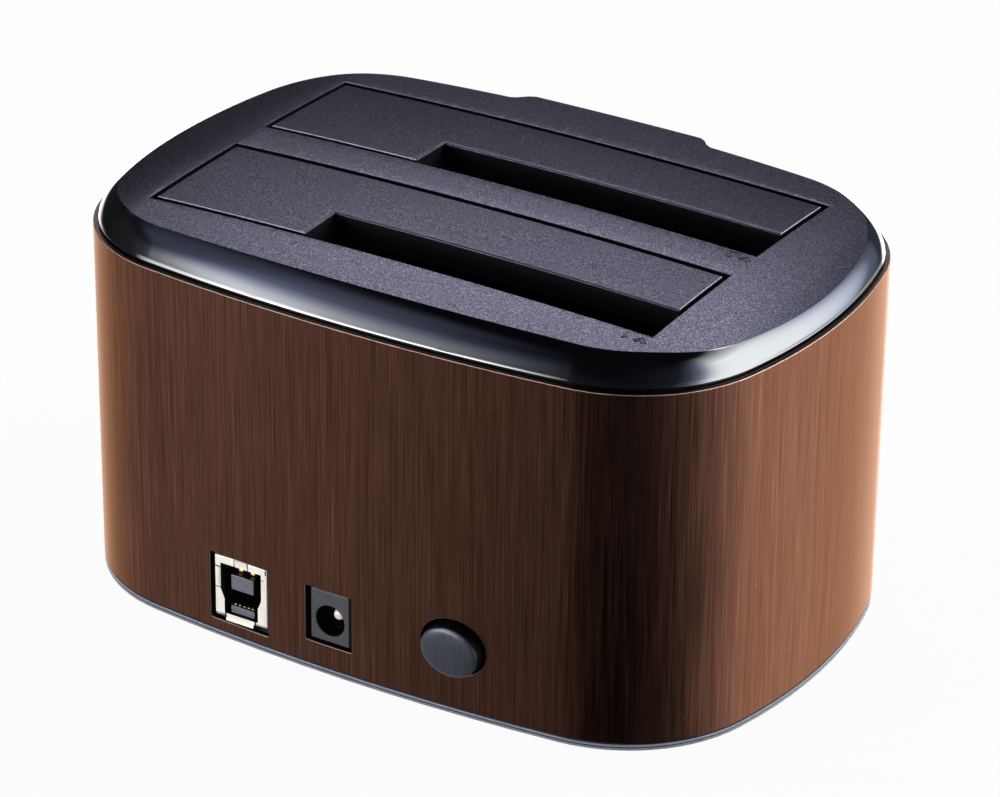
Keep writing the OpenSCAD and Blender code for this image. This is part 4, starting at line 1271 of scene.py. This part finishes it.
class DOCK_OT_stage(DockOperator, bpy.types.Operator):
    """Pale floor, soft studio light and the camera"""

    bl_idname = "dock.stage"
    bl_label = "Stage"

    AIM = Vector((0, 0, 0.075))
    SOFTBOXES = (
        # name, place, size, watts, colour
        ("left_softbox", (0.752, 0.952, 0.377), (0.8, 0.5), 13.0, (0.93, 0.95, 1.0)),
        ("right_softbox", (-1.039, -0.642, 0.52), (1.2, 0.7), 16.0, (0.97, 0.98, 1.0)),
        ("back_softbox", (0.173, -0.312, 0.398), (0.3, 0.3), 0.9, (0.85, 0.9, 1.0)),
    )
    CAMERA_PLACE = (-0.38182, 0.618319, 0.408102)
    CAMERA_TURN = (63.0062, -0.5691, -148.1964)
    CAMERA_LENS = 157.461
    # level directions from the dock to the photograph's near side and to its left, and up to the small lamp
    NEAR_WAY = (-0.5257, 0.8507, 0.0)
    LEFT_WAY = (0.8507, 0.5257, 0.0)
    SPOT_WAY = (0.457, -0.1975, 0.867)
    # brightness round the room at table height
    LOW_PEAK = 5.0
    LOW_ROOM = ((0.0, 3.5), (0.05, 4.5), (0.09, 4.6), (0.1, 2.6), (0.11, 0.8), (0.13, 0.85), (0.16, 1.5), (0.2, 1.5),
                (0.25, 1.06), (0.31, 0.4), (0.355, 0.06), (0.39, 0.0), (0.62, 0.0), (0.645, 0.07), (0.69, 0.29),
                (0.74, 0.36), (0.78, 0.46), (0.82, 0.6), (0.85, 0.95), (0.875, 1.4), (0.9, 1.9), (0.94, 2.6),
                (1.0, 3.5))
    # brightness of the two side lights, from one edge to the other
    SIDE_LIGHTS = ((0.0, 0.02), (0.09, 0.1), (0.12, 0.5), (0.14, 2.2), (0.17, 4.6), (0.2, 7), (0.24, 9), (0.28, 10),
                   (0.315, 9.8), (0.33, 8.6), (0.345, 6.2), (0.36, 3.1), (0.375, 1.4), (0.395, 0.5), (0.42, 0.1),
                   (0.5, 0.03), (0.61, 0.06), (0.63, 0.12), (0.64, 0.35), (0.65, 1.3), (0.66, 2.3), (0.67, 2.9),
                   (0.68, 4.3), (0.69, 6.5), (0.7, 7.6), (0.708, 5.6), (0.716, 1.9), (0.726, 0.6), (0.74, 0.28),
                   (0.78, 0.1), (0.88, 0.02))
    # height, share left, and shares of red and blue: the left light dies away upward and turns blue
    LEFT_FALL = ((0.34, 1.0, 1.0, 1.05), (0.4, 0.96, 1.0, 1.06), (0.46, 0.75, 0.99, 1.12), (0.537, 0.39, 0.95, 1.4),
                 (0.61, 0.12, 0.93, 1.55), (0.707, 0.02, 0.93, 1.6), (0.79, 0.0, 0.93, 1.6))

    def execute(self, context):
        scene = context.scene
        scene.view_settings.view_transform = "Standard"
        self.floor(scene.dock_colours.floor)
        self.world(scene)
        for softbox in self.SOFTBOXES:
            self.lamp(*softbox)
        data = bpy.data.cameras.new("photo_camera")
        camera = bpy.data.objects.new("photo_camera", data)
        scene.collection.objects.link(camera)
        camera.location = self.CAMERA_PLACE
        camera.rotation_euler = [math.radians(a) for a in self.CAMERA_TURN]
        data.sensor_fit, data.sensor_width, data.lens = "HORIZONTAL", 36, self.CAMERA_LENS
        data.clip_start, data.clip_end = 0.01, 100
        scene.camera = camera
        return {"FINISHED"}

    def lamp(self, name, place, size, watts, tint):
        """A softbox that fades from its middle to its edges and is not mirrored."""
        data = bpy.data.lights.new(name, "AREA")
        data.shape, data.energy, data.color = "RECTANGLE", watts, tint
        data.size, data.size_y = size
        data.use_nodes = True
        tree = data.node_tree
        place_on_it = add(tree, "ShaderNodeNewGeometry").outputs["Parametric"]
        across = add(tree, "ShaderNodeVectorMath", {0: place_on_it, 1: (0.5, 0.5, 0)}, operation="SUBTRACT")
        away = add(tree, "ShaderNodeVectorMath", {0: across.outputs[0]}, operation="LENGTH").outputs["Value"]
        fade = spread(tree, away, 0.2, 0.5, 1.6, 0.0, "SMOOTHSTEP")
        tree.links.new(fade, tree.nodes["Emission"].inputs["Strength"])
        lamp = bpy.data.objects.new(name, data)
        bpy.context.scene.collection.objects.link(lamp)
        lamp.location = place
        lamp.rotation_euler = (self.AIM - Vector(place)).to_track_quat("-Z", "Y").to_euler()
        lamp.visible_camera = lamp.visible_glossy = False

    def floor(self, pale):
        """A wide sheet of paper that is nearly white to the camera and keeps the shadow."""
        deselect()
        bpy.ops.mesh.primitive_plane_add(size=40)
        floor = named("studio_floor")
        material, tree, coords = start_material("pale_studio_floor")
        tone = tones(tree, noise(tree, coords, per(400), 2.0), pale, (0.3, 0.98), (0.7, 1.0))
        paper = add(tree, "ShaderNodeBsdfDiffuse", {"Color": tone})
        glow = add(tree, "ShaderNodeEmission", {"Color": (1, 1, 1, 1), "Strength": 1.0})
        share = add(tree, "ShaderNodeMath", {0: seen_directly(tree), 1: 0.95}, operation="MULTIPLY")
        surface(tree, "ShaderNodeMixShader", {0: share.outputs[0], 1: paper.outputs[0], 2: glow.outputs[0]})
        floor.visible_glossy = False
        dress(floor, material)

    def world(self, scene):
        """White to the camera, an even light to matt surfaces, and a studio that glossy ones mirror."""
        world = bpy.data.worlds.new("studio_world")
        scene.world = world
        world.use_nodes = True
        tree = world.node_tree
        tree.nodes.clear()

        def background(tone, strength=1.0):
            return add(tree, "ShaderNodeBackground", {"Color": tone, "Strength": strength}).outputs[0]

        white = (1, 1, 1, 1)
        glossy = add(tree, "ShaderNodeLightPath").outputs["Is Glossy Ray"]
        lit = {0: glossy, 1: background(white, 0.33), 2: background(self.mirrored(tree))}
        lit = add(tree, "ShaderNodeMixShader", lit).outputs[0]
        shown = add(tree, "ShaderNodeMixShader", {0: seen_directly(tree), 1: lit, 2: background(white)}).outputs[0]
        add(tree, "ShaderNodeOutputWorld", {"Surface": shown})

    def mirrored(self, tree):
        """Colour of the studio in each direction, as glossy surfaces mirror it."""

        def change(value, start, end, low=0.0, top=1.0, kind="SMOOTHSTEP"):
            return spread(tree, value, start, end, low, top, kind)

        def number(operation, *values):
            return add(tree, "ShaderNodeMath", dict(enumerate(values)), operation=operation).outputs[0]

        def product(result, *factors):
            for factor in factors:
                result = number("MULTIPLY", result, factor)
            return result

        def vector(operation, first, second):
            node = add(tree, "ShaderNodeVectorMath", {0: first}, operation=operation)
            socket = node.inputs["Scale" if operation == "SCALE" else 1]
            if isinstance(second, bpy.types.NodeSocket):
                tree.links.new(second, socket)
            else:
                socket.default_value = second
            return node.outputs["Value" if operation == "DOT_PRODUCT" else 0]

        way = add(tree, "ShaderNodeTexCoord").outputs["Generated"]
        near = vector("DOT_PRODUCT", way, self.NEAR_WAY)
        left = vector("DOT_PRODUCT", way, self.LEFT_WAY)
        high = add(tree, "ShaderNodeSeparateXYZ", {0: way}).outputs["Z"]
        # 0 and 1 are behind the dock, 0.25 to its right, 0.5 in front of its near corner and 0.75 to its left
        turn = change(number("ARCTAN2", left, near), -math.pi, math.pi, kind="LINEAR")
        peak = self.LOW_PEAK
        below = ramp(tree, turn, *[(t, (v / peak, v / peak, v / peak, 1)) for t, v in self.LOW_ROOM])
        below = vector("SCALE", below, peak)
        # a broad light on the right and a narrow one on the left, both leaning outward and dying away upward
        lean = number("ADD", change(turn, 0.49, 0.51, 0.075, 0.0), change(turn, 0.66, 0.715, 0.0, -0.075))
        leaning = number("MULTIPLY_ADD", number("SUBTRACT", high, 0.33), lean, turn)
        stops = []
        for t, v in self.SIDE_LIGHTS:
            blue = max(0, 1 - v / 7) if t < 0.5 else 0
            stops.append((t, (v * (0.094 - 0.01 * blue), 0.097 * v, v * (0.1 + 0.04 * blue), 1)))
        sides = ramp(tree, leaning, *stops)
        fade_right = ramp(tree, high, (0.66, (1, 1, 1, 1)), (0.77, (0.5, 0.5, 0.5, 1)), (0.86, (0, 0, 0, 1)))
        fade_left = ramp(tree, high, *[(t, (v * red, v, v * blue, 1)) for t, v, red, blue in self.LEFT_FALL])
        sides = vector("MULTIPLY", sides, blend(tree, change(turn, 0.45, 0.55), fade_right, fade_left))
        sides = vector("SCALE", sides, change(turn, 0.45, 0.55, 10.0, 9.5))
        # a bluish glow high on the left
        haze = product(change(turn, 0.66, 0.71), change(turn, 0.87, 0.74), change(high, 0.52, 0.65),
                       change(high, 0.84, 0.72))
        sides = vector("ADD", sides, vector("SCALE", (0.37, 0.4, 0.62), haze))
        # a bright strip low on the left, and a small lamp overhead that draws fine lines on rounded edges
        strip = product(change(high, 0.26, 0.12, 0.0, 15.0), change(turn, 0.625, 0.65), change(turn, 0.75, 0.72),
                        change(turn, 0.725, 0.675, 0.3, 1.0), change(high, -0.1, 0.02))
        spot = vector("DOT_PRODUCT", way, self.SPOT_WAY)
        strip = number("ADD", strip, change(spot, 0.94, 0.98, 0.0, 10.0))
        # a high bluish light behind, whose lower edge rises to the right; the crown mirrors that edge
        to_right = number("MINIMUM", number("ADD", left, 0.03), 0.0)
        lifted = number("MULTIPLY_ADD", to_right, 0.72, high)
        back = product(change(lifted, 0.395, 0.5), change(lifted, 0.5, 0.58, 1.93, 0.5),
                       change(left, 0.15, 0.075, 0.12, 1.0), change(left, 0.7, 0.45), change(near, -0.2, -0.5),
                       change(high, 0.97, 0.8), change(left, -0.75, -0.5))
        above = vector("ADD", sides, vector("SCALE", (7.2, 6.7, 7.5), back))
        above = vector("ADD", above, strip)
        return blend(tree, change(high, -0.26, -0.1), below, above)


class DOCK_PT_sidebar(bpy.types.Panel):
    """Lists the dock's pieces"""

    bl_idname = "DOCK_PT_sidebar"
    bl_label = "Drive dock"
    bl_space_type = "VIEW_3D"
    bl_region_type = "UI"
    bl_category = "Dock"

    def draw(self, context):
        for operator in OPERATORS:
            self.layout.operator(operator.bl_idname)
        for group in (context.scene.dock_sizes, context.scene.dock_colours):
            box = self.layout.box()
            for name in group.__annotations__:
                box.prop(group, name)


OPERATORS = (DOCK_OT_stage, DOCK_OT_sleeve, DOCK_OT_base_trim, DOCK_OT_top_cover, DOCK_OT_flaps, DOCK_OT_power_button,
             DOCK_OT_data_socket, DOCK_OT_power_inlet, DOCK_OT_slot_marks, DOCK_OT_carried_nodes)
CLASSES = (DockSizes, DockColours, *OPERATORS, DOCK_PT_sidebar)


def register():
    for cls in CLASSES:
        bpy.utils.register_class(cls)
    bpy.types.Scene.dock_sizes = PointerProperty(type=DockSizes)
    bpy.types.Scene.dock_colours = PointerProperty(type=DockColours)


def unregister():
    del bpy.types.Scene.dock_colours
    del bpy.types.Scene.dock_sizes
    for cls in reversed(CLASSES):
        bpy.utils.unregister_class(cls)


def main():
    register()
    bpy.ops.dock.stage()
    bpy.ops.dock.sleeve()
    bpy.ops.dock.base_trim()
    bpy.ops.dock.top_cover()
    bpy.ops.dock.flaps()
    bpy.ops.dock.power_button()
    bpy.ops.dock.data_socket()
    bpy.ops.dock.power_inlet()
    bpy.ops.dock.slot_marks()
    bpy.ops.dock.carried_nodes()


if __name__ == "__main__":
    main()
